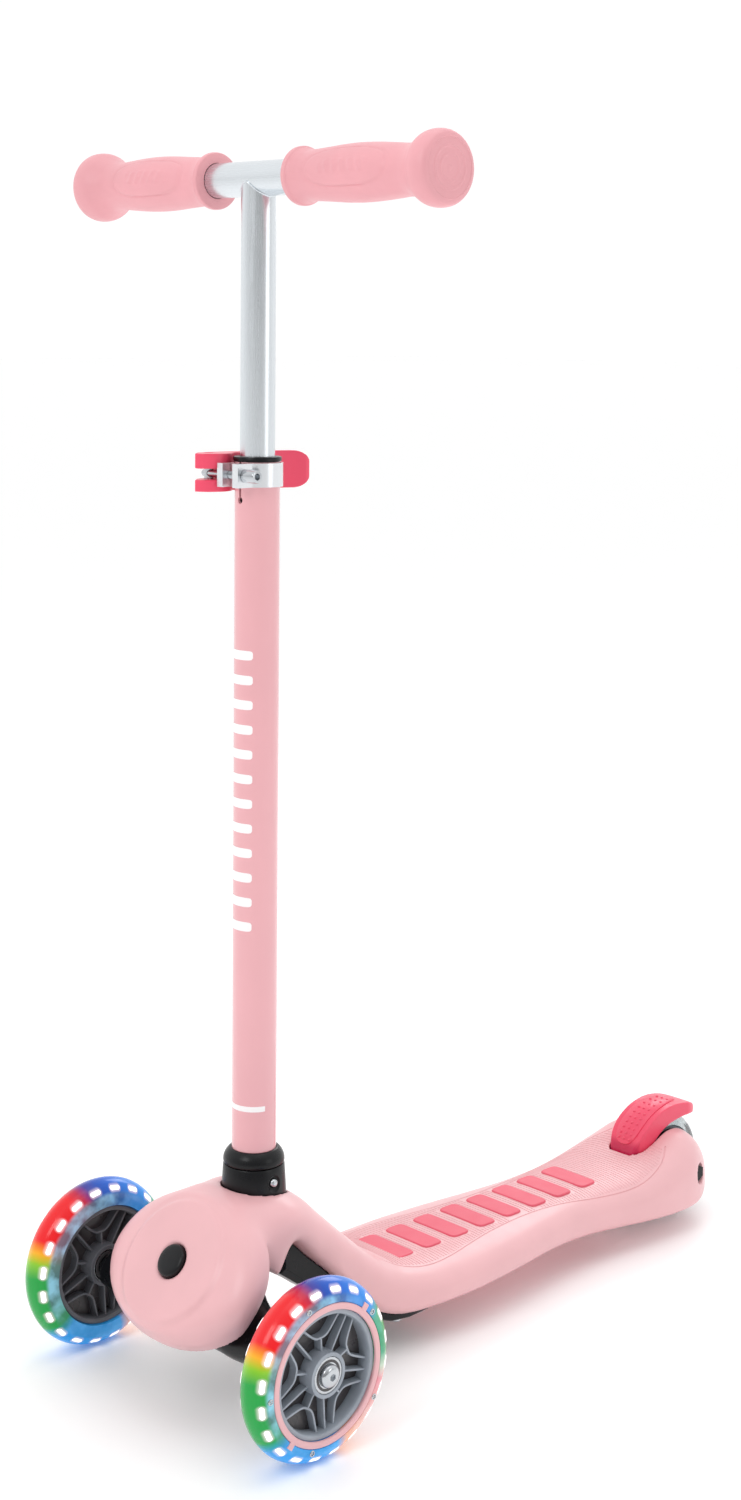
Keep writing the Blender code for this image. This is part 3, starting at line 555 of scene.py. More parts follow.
def revolve(profile, origin=(0, 0, 0), axis=(0, 0, 1), steps=FINE, phase=0.5):
    """Turn (radius, height) points round the axis; a profile off the axis is a closed ring."""
    place = basis(origin, axis)
    rings = []
    verts = []
    for radius, height in profile:
        start = len(verts)
        if radius == 0:
            verts.append(place @ Vector((0, 0, height)))
            rings.append([start] * steps)
            continue
        for k in range(steps):
            turn = 2 * math.pi * (k + phase) / steps
            verts.append(place @ Vector((radius * math.cos(turn), radius * math.sin(turn), height)))
        rings.append(list(range(start, start + steps)))
    pairs = list(zip(rings, rings[1:]))
    if profile[0][0] > 0:
        pairs.append((rings[-1], rings[0]))
    faces = []
    for low, high in pairs:
        for k in range(steps):
            nxt = (k + 1) % steps
            face = [low[k], low[nxt], high[nxt], high[k]]
            face = [v for i, v in enumerate(face) if v not in face[:i]]
            if len(face) > 2:
                faces.append(face)
    return to_mesh(verts, faces)


def tube(inner, outer, low, high, origin=(0, 0, 0), axis=(0, 0, 1), steps=FINE):
    """A plain ring."""
    return revolve(((inner, low), (outer, low), (outer, high), (inner, high)), origin, axis, steps)


def rod(radius, low, high, origin=(0, 0, 0), axis=(0, 0, 1), steps=FINE):
    """A plain cylinder, used as a cutter."""
    return revolve(((0, low), (radius, low), (radius, high), (0, high)), origin, axis, steps)


def block(low, high):
    """An upright box between two corners, used as a cutter."""
    verts = [(x, y, z) for x in (low[0], high[0]) for y in (low[1], high[1]) for z in (low[2], high[2])]
    return to_mesh(verts, BLOCK_FACES)


BLOCK_FACES = ((0, 1, 3, 2), (4, 6, 7, 5), (0, 4, 5, 1), (2, 3, 7, 6), (0, 2, 6, 4), (1, 5, 7, 3))


def loft(loops):
    """Join equal loops of points, and cap the two ends."""
    count = len(loops[0])
    verts = [point for loop in loops for point in loop]
    faces = [list(range(count)), list(range((len(loops) - 1) * count, len(loops) * count))]
    for k in range(len(loops) - 1):
        base = k * count
        for i in range(count):
            j = (i + 1) % count
            faces.append([base + i, base + j, base + count + j, base + count + i])
    return to_mesh(verts, faces)


def slab(outline, low, high, lift):
    """Extrude a flat outline from low to high; lift places (u, v, w)."""
    return loft([[lift(u, v, w) for u, v in outline] for w in (low, high)])


def flat(u, v, w):
    """Outline in X and Y, raised along Z."""
    return Vector((u, v, w))


def sideways(u, v, w):
    """Outline in Y and Z, raised along X."""
    return Vector((w, u, v))


def on_king(x, rise, height):
    """Point from its X, its distance up the nose disc and its height along the kingpin."""
    return Vector((x, 0, 0)) + NOSE + rise * RISE + height * KING


def scratch(mesh):
    """A temporary object."""
    obj = bpy.data.objects.new("scratch", mesh)
    bpy.context.scene.collection.objects.link(obj)
    return obj


def evaluated(obj):
    """The object's mesh with its modifiers applied; the object itself is removed."""
    bpy.context.view_layer.update()
    graph = bpy.context.evaluated_depsgraph_get()
    mesh = bpy.data.meshes.new_from_object(obj.evaluated_get(graph))
    bpy.data.objects.remove(obj, do_unlink=True)
    return mesh


def combine(mesh, others, operation):
    """Boolean the other meshes into the first, one after another."""
    for other in others:
        base = scratch(mesh)
        tool = scratch(other)
        cut = base.modifiers.new("cut", "BOOLEAN")
        cut.operation = operation
        cut.solver = "EXACT"
        cut.object = tool
        mesh = evaluated(base)
        bpy.data.objects.remove(tool, do_unlink=True)
    return mesh


def joined(*meshes):
    """Union of meshes that overlap."""
    return combine(meshes[0], meshes[1:], "UNION")


def minus(mesh, *cutters):
    """The mesh less each cutter."""
    return combine(mesh, cutters, "DIFFERENCE")


def skin(mesh, voxel, rounds):
    """The mesh remeshed evenly, with its edges and joins softened."""
    obj = scratch(mesh)
    remesh = obj.modifiers.new("remesh", "REMESH")
    remesh.mode = "VOXEL"
    remesh.voxel_size = voxel
    soften = obj.modifiers.new("soften", "SMOOTH")
    soften.factor = 0.5
    soften.iterations = rounds
    return evaluated(obj)


def gathered(meshes):
    """Several closed shapes as one mesh."""
    build = bmesh.new()
    for mesh in meshes:
        build.from_mesh(mesh)
    mesh = bpy.data.meshes.new("shape")
    build.to_mesh(mesh)
    build.free()
    return mesh


def piece(name, mesh, material, like, stands_for=(), bevel=0.0, origin=(0, 0, 0), centre=None, angle=35):
    """Place a named piece that moves with a CAD node and takes the material given, and may stand for some.

    The mesh is drawn in place, to be kept from its origin, or is drawn about its centre.
    """
    if centre is None:
        centre = Vector(origin)
        mesh.transform(Matrix.Translation(-centre))
    mesh.name = name
    mesh.materials.clear()
    mesh.materials.append(MATERIALS[material])
    obj = bpy.data.objects.new(name, mesh)
    obj.location = centre + SHIFT
    bpy.context.scene.collection.objects.link(obj)
    mesh.shade_smooth()
    mesh.set_sharp_from_angle(angle=math.radians(angle))
    if bevel:
        edge = obj.modifiers.new("edge", "BEVEL")
        edge.limit_method = "ANGLE"
        edge.angle_limit = math.radians(30)
        edge.width = bevel
        edge.segments = 3
    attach(obj, BODY_OF[like])
    for node in stands_for:
        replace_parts(obj, node)
    return obj


def stand_in(node, finish, mesh, material, **more):
    """A piece shown in place of one CAD node."""
    return piece(f"{node}_{finish}", mesh, material, node, (node,), **more)


def refined(node, bevel, material=None):
    """The CAD node's own shape, cleaned, with its edges broken and finished."""
    build = bmesh.new()
    build.from_mesh(frame["nodes"][node].data)
    bmesh.ops.remove_doubles(build, verts=build.verts, dist=1e-6)
    bmesh.ops.dissolve_limit(build, angle_limit=math.radians(0.5), verts=build.verts, edges=build.edges)
    bmesh.ops.recalc_face_normals(build, faces=build.faces)
    mesh = bpy.data.meshes.new(node)
    build.to_mesh(mesh)
    build.free()
    mesh.transform(Matrix.Translation(-SHIFT))
    return stand_in(node, "finished", mesh, material or BY_SLOT[SLOT_OF[node]], bevel=bevel)


# ---------------------------------------------------------------- nose, neck and deck

def deck_loop(y, half, top, low, power):
    """Cross-section of the deck: flat below, a rounded top."""
    right = [(0.6 * half, low), (half - 0.005, low), (half - 0.001, low + 0.003)]
    shoulder = low + 0.005
    for k in range(24):
        turn = math.pi / 2 * k / 24
        x = half * math.cos(turn) ** (2 / power)
        right.append((x, shoulder + (top - shoulder) * math.sin(turn) ** (2 / power)))
    left = [(-x, z) for x, z in reversed(right)]
    return [Vector((x, y, z)) for x, z in right + [(0, top)] + left + [(0, low)]]


def nose_dome():
    """The disc-shaped nose with its raised middle, its skirt and its hollow."""
    dome = smooth_line((
        (0.0125, 0.0), (0.0300, 0.0003), (0.0370, 0.0003), (0.0388, -0.0001), (0.0402, -0.0014),
        (0.0418, -0.0021), (0.0450, -0.0027), (0.0490, -0.0046), (0.0525, -0.0080),
        (0.0552, -0.0128), (NOSE_R, -0.0175), (0.0556, -0.0245)), 4)
    profile = [(0.0041, -0.0245), (0.0041, -0.0168), (0.0070, -0.0168), (0.0070, -0.0085),
               (0.0108, -0.0085), (0.0108, -0.0010)]
    profile.extend(dome)
    profile.extend(((0.0520, -0.0245), (0.0515, -0.0140), (0.0450, -0.0078), (0.0145, -0.0062),
                    (0.0145, -0.0245)))
    mesh = revolve(profile, NOSE, KING)
    for vertex in mesh.vertices:
        away = vertex.co - NOSE
        rise = away.dot(RISE)
        share = share_of(math.hypot(away.x, rise), 0.036, NOSE_R - 0.036)
        share = share * share * (3 - 2 * share)
        taller = NOSE_UPPER if rise > 0 else NOSE_LOWER
        vertex.co += share * (NOSE_WIDER * Vector((away.x, 0, 0)) + taller * rise * RISE)
    return mesh


# Edge of the brake's slot at the deck's surface, from its open rear to near its middle in front: X and Y.
SLOT_CORNER = (
    (0.0155, 0.5), (0.0155, 0.3790), (0.0152, 0.3755), (0.0143, 0.3718), (0.0125, 0.3684), (0.0098, 0.3661),
    (0.0065, 0.3651))


def shell_cutters():
    """What is cut from the shell for the truck, column, inlay, brake and rear wheel."""
    corners = [on_king(x, rise, height) for x in (-0.1, 0.1) for rise in (-0.1, 0.022)
               for height in (-0.20, -0.0255)]
    pin_hole = revolve(((0, -0.03), (0.0041, -0.03), (0.0041, -0.0168), (0.0070, -0.0168), (0.0070, -0.005),
                        (0, -0.005)), NOSE, KING, 36)
    seat = revolve(((0, 0.1075), (0.01455, 0.1075), (0.01455, 0.1117), (0.0213, 0.1117), (0.0213, 0.2),
                    (0, 0.2)))
    slot = [(0.3520, 0.0), (0.5, 0.0), (0.5, 0.0475), (0.3520, 0.0475)]
    mouth = list(SLOT_CORNER) + [(-x, y) for x, y in reversed(SLOT_CORNER)]
    bore = revolve(((0, -0.06), (0.0075, -0.06), (0.0075, -0.0367), (0.00415, -0.0367),
                    (0.00415, 0.0367), (0.0075, 0.0367), (0.0075, 0.06), (0, 0.06)),
                   REAR, (1, 0, 0), 48, 0.37)
    return [
        to_mesh(corners, BLOCK_FACES),
        rod(0.0325, -0.0635, -0.0259, NOSE, KING, 64), pin_hole, seat,
        block((-0.032, 0.104, 0.0), (0.032, 0.328, 0.0502)), slab(slot, -0.0155, 0.0155, sideways),
        slab(mouth, 0.0465, 0.1, flat), bore,
        rod(BRAKE_PIN_R, -0.0300, 0.0300, PIVOT, (1, 0, 0), 24)]


def beside_nose(point):
    """Weight of the extra softening where the nose's side runs into the neck: 0 to 1."""
    away = point - NOSE
    along = share_of(point.y, -0.064, 0.012) * share_of(-point.y, -0.040, 0.016)
    outward = share_of(abs(point.x), 0.0220, 0.010)
    upward = share_of(point.z, 0.0660, 0.010)
    outer = share_of(math.hypot(away.x, away.dot(RISE)), 0.0450, 0.006)
    return along * outward * upward * outer


def softened(mesh, weigh, rounds):
    """The mesh smoothed again where the weight says so."""
    obj = scratch(mesh)
    group = obj.vertex_groups.new(name="soft")
    for vertex in mesh.vertices:
        weight = weigh(vertex.co)
        if weight > 0:
            group.add([vertex.index], weight, "REPLACE")
    soften = obj.modifiers.new("soften", "SMOOTH")
    soften.factor = 0.5
    soften.iterations = rounds
    soften.vertex_group = "soft"
    return evaluated(obj)


def cleared_for_pads(mesh):
    """Lower the shell a hair below each pad's top where the neck starts to rise."""
    for vertex in mesh.vertices:
        point = vertex.co
        if 0.053 < point.z < 0.060 and on_pad(point.x, point.y):
            point.z = min(point.z, PAD_TOP - 0.0008)
    return mesh


def half_at(y):
    """Half width of the moulded border at this Y."""
    for (y0, half0), (y1, half1) in zip(BORDER, BORDER[1:]):
        if y0 <= y <= y1:
            return half0 + (half1 - half0) * (y - y0) / (y1 - y0)
    return 0.0


def swept(path, radius, sides):
    """A thin round bar along a path."""
    loops = []
    for k, here in enumerate(path):
        ahead = (path[min(k + 1, len(path) - 1)] - path[max(k - 1, 0)]).normalized()
        out = ahead.cross(Vector((0, 0, 1))).normalized()
        up = out.cross(ahead)
        turns = [2 * math.pi * i / sides for i in range(sides)]
        loops.append([here + radius * (math.cos(turn) * out + math.sin(turn) * up) for turn in turns])
    return loft(loops)


def surface_below(tree, x, y):
    """Point of the shell straight below, or None where there is only a wall or a hole."""
    point, normal = tree.ray_cast(Vector((x, y, 0.12)), Vector((0, 0, -1)))[:2]
    if point is None or normal.z < 0.8:
        return None
    return point


def on_pad(x, y):
    """Whether this place is on a raised pad, or within a hair of one."""
    k = round((y - PAD_FIRST) / PAD_PITCH)
    if not 0 <= k < PAD_COUNT:
        return False
    return abs(y - PAD_FIRST - k * PAD_PITCH) < PAD_HALF_Y + 0.0006 and abs(x) < PAD_HALF_X + 0.0006


# Grip ribs of the deck and the groove of its border.
RIB_PITCH = 0.0028
RIB_STEP = 0.0015
RIB_R = 0.00042
RIB_LIFT = 0.00002
RIB_SPAN = (0.0980, 0.3840)
RIB_MARGIN = 0.0020
GROOVE_R = 0.00055


def deck_ribs(tree):
    """Fine grip ribs across the deck inside its border, skipping the pads."""
    ribs = []
    y = RIB_SPAN[0]
    while y < RIB_SPAN[1]:
        reach = half_at(y) - RIB_MARGIN
        run = []
        steps = int(2 * reach / RIB_STEP)
        for k in range(steps + 1):
            x = -reach + 2 * reach * k / steps
            point = None if on_pad(x, y) else surface_below(tree, x, y)
            if point is not None:
                run.append(point + Vector((0, 0, RIB_LIFT)))
            if (point is None or k == steps) and run:
                if len(run) > 2:
                    ribs.append(swept(run, RIB_R, 6))
                run = []
        y += RIB_PITCH
    return gathered(ribs)


def border_cutter(tree):
    """A thin bar along the moulded border, sunk to half its depth."""
    bars = []
    right = smooth_line(BORDER, 12)
    for side in (1, -1):
        path = [surface_below(tree, side * half, y) for y, half in right]
        bars.append(swept([point for point in path if point is not None], GROOVE_R, 8))
    return bars


def shell():
    """The pink shell as one soft-edged moulding, with its border line and grip ribs."""
    stations = smooth_line(STATIONS, 6)
    body = joined(loft([deck_loop(*station) for station in stations]), nose_dome())
    body = minus(body, *shell_cutters())
    voxel, rounds = ((0.0010, 280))
    body = softened(skin(body, voxel, 5), beside_nose, rounds)
    body = cleared_for_pads(body)
    well = revolve(((0, -0.0090), (0.0109, -0.0090), (0.0109, 0.0010), (0.0112, 0.0060), (0, 0.0060)), NOSE,
                   KING, 64)
    body = minus(body, well)
    build = bmesh.new()
    build.from_mesh(body)
    tree = BVHTree.FromBMesh(build)
    build.free()
    body = minus(body, *border_cutter(tree))
    stand_in("deck_shell", "skin", body, "pink")
    piece("deck_grip_ribs", deck_ribs(tree), "pink", "deck_shell")


# ---------------------------------------------------------------- column

def collar():
    """Black socket and ring at the foot of the column."""
    socket = revolve([
        (0.01455, 0.1120), (0.0206, 0.1120), (0.0210, 0.1124), (0.0210, 0.1240), (0.0207, 0.1300),
        (0.0198, 0.1438), (0.0192, 0.1448), (0.01455, 0.1448)])
    socket = minus(socket, rod(SNAP_HOLE_R, 0.010, 0.030, (0, 0, SNAP_Z), (1, 0, 0), 32))
    dish = revolve(((0, 0.0190), (0.0040, 0.0190), (0.0058, 0.0205), (0.0066, 0.030), (0, 0.030)),
                   (0, 0, SNAP_Z), (1, 0, 0), 40)
    stand_in("collar_socket", "turned", minus(socket, dish), "black", bevel=0.0002)
    dome = smooth_line(((0.0188, 0.1452), (0.0197, 0.1462), (0.0195, 0.1490), (0.0182, 0.1520),
                        (0.0160, 0.1545), (0.01455, 0.1550)), 4)
    stand_in("collar_ring", "turned", revolve([(0.01455, 0.1452)] + dome[:-1] + [(0.01455, 0.1550)]),
             "black")
    body = [(0, 0.0095), (0.0029, 0.0095)] + smooth_line(
        ((0.0029, 0.0195), (0.0022, 0.0206), (0.0012, 0.0212), (0, 0.0214)), 4)
    stand_in("snap_button", "turned", revolve(body, (0, 0, SNAP_Z), (1, 0, 0), 32), "steel")


def outer_tube():
    """Pink column tube with its slit, the drop-shaped end of the slit and the bush on top."""
    outer = tube(OUTER_IN, OUTER_R, OUTER_LOW, OUTER_TOP)
    outer = minus(outer, block((-0.0010, -0.02, 0.5715), (0.0010, -0.008, 0.60)),
                  rod(0.0021, 0.008, 0.02, (0, 0, 0.5710), (0, -1, 0), 32),
                  rod(SNAP_HOLE_R, 0.008, 0.02, (0, 0, SNAP_Z), (1, 0, 0), 32))
    stand_in("outer_tube", "turned", outer, "pink_paint", bevel=0.0002)
    bush = revolve((
        (0.0114, 0.5740), (0.01225, 0.5740), (0.01225, 0.5953), (0.0150, 0.5953), (0.0153, 0.5956),
        (0.0153, 0.5976), (0.0150, 0.5981), (0.0145, 0.5983), (0.0114, 0.5983)))
    stand_in("tube_bush", "turned", bush, "black")


def on_column(middle, reach, low, high, round_ends=6):
    """A thin printed patch on the outer tube: angle from the front, half angle, and two heights."""
    loops = []
    steps = 28
    half = (high - low) / 2
    for k in range(steps + 1):
        share = -1 + 2 * k / steps
        tall = half * max(0.02, (1 - abs(share) ** round_ends)) ** (1 / round_ends)
        turn = math.radians(middle + reach * share)
        loop = []
        for radius, height in ((-0.0002, -1), (0.00008, -1), (0.00008, 1), (-0.0002, 1)):
            away = OUTER_R + radius
            z = (low + high) / 2 + height * tall
            loop.append(Vector((away * math.sin(turn), -away * math.cos(turn), z)))
        loops.append(loop)
    return loft(loops)


# Plain bars printed up the outer tube: lowest edge, pitch, height, number and half angle in degrees.
BAR_LOW = 0.2980
BAR_STEP = 0.0157
BAR_TALL = 0.0060
BAR_COUNT = 12
BAR_REACH = 38


def column_print():
    """An even row of plain bars down the front of the tube, and one plain band lower down."""
    bars = []
    for k in range(BAR_COUNT):
        low = BAR_LOW + k * BAR_STEP
        bars.append(on_column(2, BAR_REACH, low, low + BAR_TALL))
    piece("column_print_bars", gathered(bars), "white", "outer_tube")
    piece("column_print_band", on_column(10, 68, 0.1815, 0.1850, 40), "white", "outer_tube")


# ---------------------------------------------------------------- clamp

def clamp_band():
    """Silver band with its two ears."""
    low = CLAMP_Z - CLAMP_HALF
    high = CLAMP_Z + CLAMP_HALF
    band = rod(BAND_R, low, high)
    for side in (-1, 1):
        ends = sorted((side * 0.0030, side * EAR_OUT))
        band = joined(band, block((ends[0], EAR_TIP, low), (ends[1], -0.009, high)))
    band = minus(band, rod(0.0146, 0.5, 0.7), block((-EAR_IN, -0.05, 0.5), (EAR_IN, -0.008, 0.7)),
                 rod(0.0027, -0.05, 0.05, (0, BOLT_Y, CLAMP_Z), (1, 0, 0), 32))
    stand_in("clamp_band", "milled", band, "clamp", bevel=0.0006)


def clamp_bolt():
    """Socket-head bolt with its hexagonal recess."""
    middle = (0, BOLT_Y, CLAMP_Z)
    bolt = revolve((
        (0, -0.0312), (0.0012, -0.0310), (0.0023, -0.0300), (0.0025, -0.0285), (0.0025, 0.0103),
        (0.0042, 0.0103), (0.0042, 0.0206), (0.0039, 0.0212), (0.0034, 0.0214), (0, 0.0214)), middle,
        (1, 0, 0), 48)
    socket = rod(0.0023, 0.0165, 0.03, middle, (1, 0, 0), 6)
    stand_in("clamp_bolt", "turned", minus(bolt, socket), "steel", bevel=0.0002)


def lever_corners():
    """What is cut from above and below the lever's tip to leave its end round."""
    middle = CLAMP_Z + 0.0010
    cutters = []
    for side in (1, -1):
        outline = [(0.0375, middle + side * 0.03), (0.0375, middle + side * 0.0121)]
        for k in range(15):
            turn = math.pi / 2 * (1 - k / 16)
            outline.append((0.0405 + 0.0126 * math.cos(turn), middle + side * 0.0121 * math.sin(turn)))
        outline.extend([(0.0600, middle + side * 0.0020), (0.0600, middle + side * 0.03)])
        cutters.append(slab(outline, -0.03, 0.01, sideways))
    return cutters


def clamp_lever():
    """Coral quick-release lever, forked round the bolt and curved round the tube."""
    nose = []
    for k in range(25):
        turn = math.radians(-75 + 105 * k / 24)
        nose.append((LEVER_P.x + 0.0149 * math.cos(turn), LEVER_P.y + 0.0149 * math.sin(turn)))
    inner = smooth_line(((-0.0172, -0.0050), (-0.0185, 0.0050), (-0.0180, 0.0160), (-0.0160, 0.0270),
                         (-0.0128, 0.0370), (-0.0095, 0.0450), (-0.0078, 0.0490)))
    tip = [(-0.0080, 0.0515), (-0.0100, 0.0528), (-0.0124, 0.0518)]
    outer = smooth_line(((-0.0160, 0.0450), (-0.0200, 0.0360), (-0.0238, 0.0260), (-0.0268, 0.0150),
                         (-0.0290, 0.0030), (-0.0306, -0.0090), (-0.0312, -0.0185), (-0.0300, -0.0245),
                         (-0.0266, -0.0280)))
    lever = slab(nose + inner + tip + outer, CLAMP_Z - 0.0110, CLAMP_Z + 0.0130, flat)
    gap = block((-0.05, -0.05, CLAMP_Z - 0.0035), (0.0, -0.0105, CLAMP_Z + 0.0035))
    lever = minus(lever, gap, rod(0.0031, -0.02, 0.02, LEVER_P, steps=32), *lever_corners())
    stand_in("clamp_lever", "skin", skin(lever, 0.00045, 5), "coral", origin=LEVER_P)


# ---------------------------------------------------------------- handlebar

def stem_and_bar():
    """Sliding tube, cross tube and the weld where they meet."""
    stem = tube(INNER_IN, INNER_R, INNER_LOW, BAR_Z)
    stem = minus(stem, rod(INNER_R + 0.0003, -0.05, 0.05, (0, 0, BAR_Z), (1, 0, 0)))
    stand_in("inner_tube", "turned", stem, "stem")
    bar = tube(INNER_IN, INNER_R, -0.1625, 0.1625, (0, 0, BAR_Z), (1, 0, 0))
    stand_in("handlebar_tube", "turned", bar, "bar")
    loops = []
    for k in range(FINE + 1):
        turn = 2 * math.pi * k / FINE
        x = INNER_R * math.cos(turn)
        y = INNER_R * math.sin(turn)
        drop = math.sqrt(max(0.0, (INNER_R + 0.0002) ** 2 - y * y))
        middle = Vector((x, y, BAR_Z - drop))
        out = Vector((math.cos(turn), math.sin(turn), 0))
        ripple = 0.00060 + 0.00006 * math.sin(34 * turn)
        around = [math.pi * i / 4 for i in range(8)]
        loops.append([middle + ripple * (math.cos(a) * out + Vector((0, 0, math.sin(a)))) for a in around])
    piece("handlebar_weld", loft(loops), "stem", "inner_tube")


# Grip: radius and distance along the bar. Then its side panel: place, half size and turn.
GRIP_PROFILE = (
    (0.0176, 0.0400), (0.0181, 0.0406), (0.0182, 0.0420), (0.0181, 0.0434), (0.0170, 0.0450),
    (0.0160, 0.0490), (0.0157, 0.0540), (0.0165, 0.0680), (0.0175, 0.0830), (0.0178, 0.0965),
    (0.0174, 0.1095), (0.0164, 0.1240), (0.0156, 0.1345), (0.0163, 0.1415), (0.0190, 0.1475),
    (0.02178, 0.1525), (0.02277, 0.1575), (0.02238, 0.1623), (0.0208, 0.1652), (0.0180, 0.1664))
GRIP_ROUNDS = 144
GRIP_MIDDLE = 0.1030
PANEL_MIDDLE = 0.0935
PANEL_LONG = 0.0345
PANEL_WIDE = 0.0125
PANEL_TURN = math.radians(12)


def end_face(radius):
    """Height of the grip's end face: two raised rings round a small boss."""
    height = 0.1660
    for ring in (0.0125, 0.0075):
        height += 0.00050 * math.exp(-((radius - ring) / 0.0007) ** 2)
    return height + 0.00050 * math.exp(-(radius / 0.0016) ** 2)


def panel_relief(along, across):
    """How far the grip's side panel stands out: a rounded field, its rim line and plain ribs."""
    reach = ((abs(along) / PANEL_LONG) ** 2.6 + (abs(across) / PANEL_WIDE) ** 2.4) ** (1 / 2.5)
    field = 0.00055 * share_of(-reach, -1.0, 0.05)
    rim = -0.00050 * math.exp(-((reach - 1.03) / 0.035) ** 2)
    rib = 0.0
    if abs(along) < 0.021 and abs(across) < 0.0042:
        wave = math.cos(2 * math.pi * (along + 0.35 * across) / 0.0070)
        ends = min(1.0, (0.0042 - abs(across)) / 0.0008, (0.021 - abs(along)) / 0.0008)
        rib = 0.00065 * ends * max(0.0, min(1.0, 2.2 * wave))
    return field + rim + rib


def grip(name, side):
    """Soft grip with two panels in relief and rings on its end face."""
    inside = [(0, 0.1635), (0.0114, 0.1635), (0.0114, 0.0400)]
    end = [(radius, end_face(radius)) for radius in [0.0176 - 0.0004 * k for k in range(44)] + [0]]
    mesh = revolve(inside + smooth_line(GRIP_PROFILE, 9) + end, (0, 0, BAR_Z), (side, 0, 0), GRIP_ROUNDS)
    for vertex in mesh.vertices:
        away = Vector((0, vertex.co.y, vertex.co.z - BAR_Z))
        along = abs(vertex.co.x) - PANEL_MIDDLE
        if away.length < 0.0150 or abs(along) > 0.045:
            continue
        for facing in (-1, 1):
            turn = math.atan2(away.z, facing * away.y) - PANEL_TURN
            lift = panel_relief(along, turn * away.length)
            if abs(turn) < math.pi / 2:
                vertex.co += lift * away.normalized()
    stand_in(name, "moulded", mesh, "grip", origin=(side * GRIP_MIDDLE, 0, BAR_Z), angle=60)


# ---------------------------------------------------------------- truck

def truck():
    """Black truck: two tapering arms and the hub under the nose."""
    half = smooth_line(TRUCK, 5)
    loops = []
    other = [(-row[0],) + row[1:] for row in half[:0:-1]]
    for x, rise, height, half_rise, half_height in other + half:
        ring = []
        for k in range(40):
            turn = 2 * math.pi * k / 40
            c = math.cos(turn)
            s = math.sin(turn)
            u = half_rise * math.copysign(abs(c) ** 0.7, c)
            v = half_height * math.copysign(abs(s) ** 0.7, s)
            ring.append(on_king(x, rise + u, height + v))
        loops.append(ring)
    hub = revolve((
        (0, -0.0620), (0.0270, -0.0620), (0.0300, -0.0590), (0.0300, -0.0295), (0.0285, -0.0275),
        (0, -0.0275)), NOSE, KING, 64)
    arm = minus(joined(loft(loops), hub), rod(0.0068, -0.1, 0.1, NOSE, KING, 40))
    axle = Vector((0, FRONT.y, FRONT.z))
    arm = minus(arm, *[rod(0.0042, 0.0610, 0.1, axle, (side, 0, 0), 24) for side in (1, -1)])
    stand_in("truck_arm", "skin", skin(arm, 0.0008, 5), "black", origin=NOSE)
    lock_button()


def lock_button():
    """Domed button in the nose, with its stem and flange."""
    stem = [(0, -0.0072), (0.0045, -0.0072), (0.0045, -0.0048), (0.0104, -0.0048)]
    top = ((0.0104, 0.0004), (0.0100, 0.0012), (0.0088, 0.0019), (0.0060, 0.0024), (0, 0.0027))
    stand_in("steering_lock_button", "turned", revolve(stem + smooth_line(top, 4), NOSE, KING, 64),
             "black", origin=NOSE)


# ---------------------------------------------------------------- wheels

def in_wheel(side, radius, turn, x):
    """Point of a wheel from its radius, its turn from the top and its distance outwards."""
    return Vector((side * x, -radius * math.sin(turn), radius * math.cos(turn)))


def ribbon(path, wide, low, high, side):
    """A rib of even width along a path of (radius, turn), between two distances from the middle."""
    flat_path = [Vector((radius * math.sin(turn), radius * math.cos(turn))) for radius, turn in path]
    left = []
    right = []
    for k, here in enumerate(flat_path):
        ahead = (flat_path[min(k + 1, len(path) - 1)] - flat_path[max(k - 1, 0)]).normalized()
        out = Vector((-ahead.y, ahead.x)) * wide / 2
        left.append(here + out)
        right.append(here - out)
    loops = []
    for a, b in zip(left, right):
        loops.append([Vector((side * low, -a.x, a.y)), Vector((side * high, -a.x, a.y)),
                      Vector((side * high, -b.x, b.y)), Vector((side * low, -b.x, b.y))])
    return loft(loops)


def web_ribs(side, low, high, wide, rim, apex, hub):
    """Five plain ribs, and between them five stems that open into leaf-shaped loops."""
    ribs = []
    for k in range(5):
        middle = 2 * math.pi * (k + 0.05) / 5
        ribs.append(ribbon([(hub, middle), (apex, middle)], wide, low, high, side))
        loop = []
        for step in range(-12, 13):
            share = step / 12
            turn = math.radians(25) * math.copysign(abs(share) ** 0.75, share)
            loop.append((apex + (rim - apex) * abs(share) ** 2.3, middle + turn))
        ribs.append(ribbon(loop, wide, low, high, side))
        between = middle + math.pi / 5
        path = [(radius, between) for radius in (hub, (hub + rim) / 2, rim)]
        ribs.append(ribbon(path, wide, low, high, side))
    return ribs


def wheel_core(prefix, side, centre, half, rim_out, rim_in, hub_half, material):
    """Rim, hub and ribs in grey, and the dark web behind them."""
    node = prefix + "_core"
    lip = smooth_line(((rim_in, half - 0.0022), (rim_in + 0.0005, half - 0.0006), (rim_in + 0.0014, half),
                       (rim_out - 0.0006, half)), 4)
    back = [(radius, -height) for radius, height in reversed(lip)]
    rim = revolve([(rim_out, half - 0.0008), (rim_out, -half + 0.0008)] + back + lip, (0, 0, 0), (side, 0, 0))
    hub = tube(0.0112, 0.0136, -hub_half, hub_half, (0, 0, 0), (side, 0, 0), 64)
    shapes = [rim, hub]
    top = half - 0.0034
    for facing in (1, -1):
        shapes.extend(web_ribs(side * facing, 0.0010, top, 0.0013, rim_in + 0.0004, 0.62 * rim_in, 0.0130))
    stand_in(node, "ribs", gathered(shapes), material, bevel=0.00025, centre=centre)
    web = tube(0.0128, rim_in + 0.0010, -0.0011, 0.0011, (0, 0, 0), (side, 0, 0))
    piece(prefix + "_core_web", web, "web", node, centre=centre)


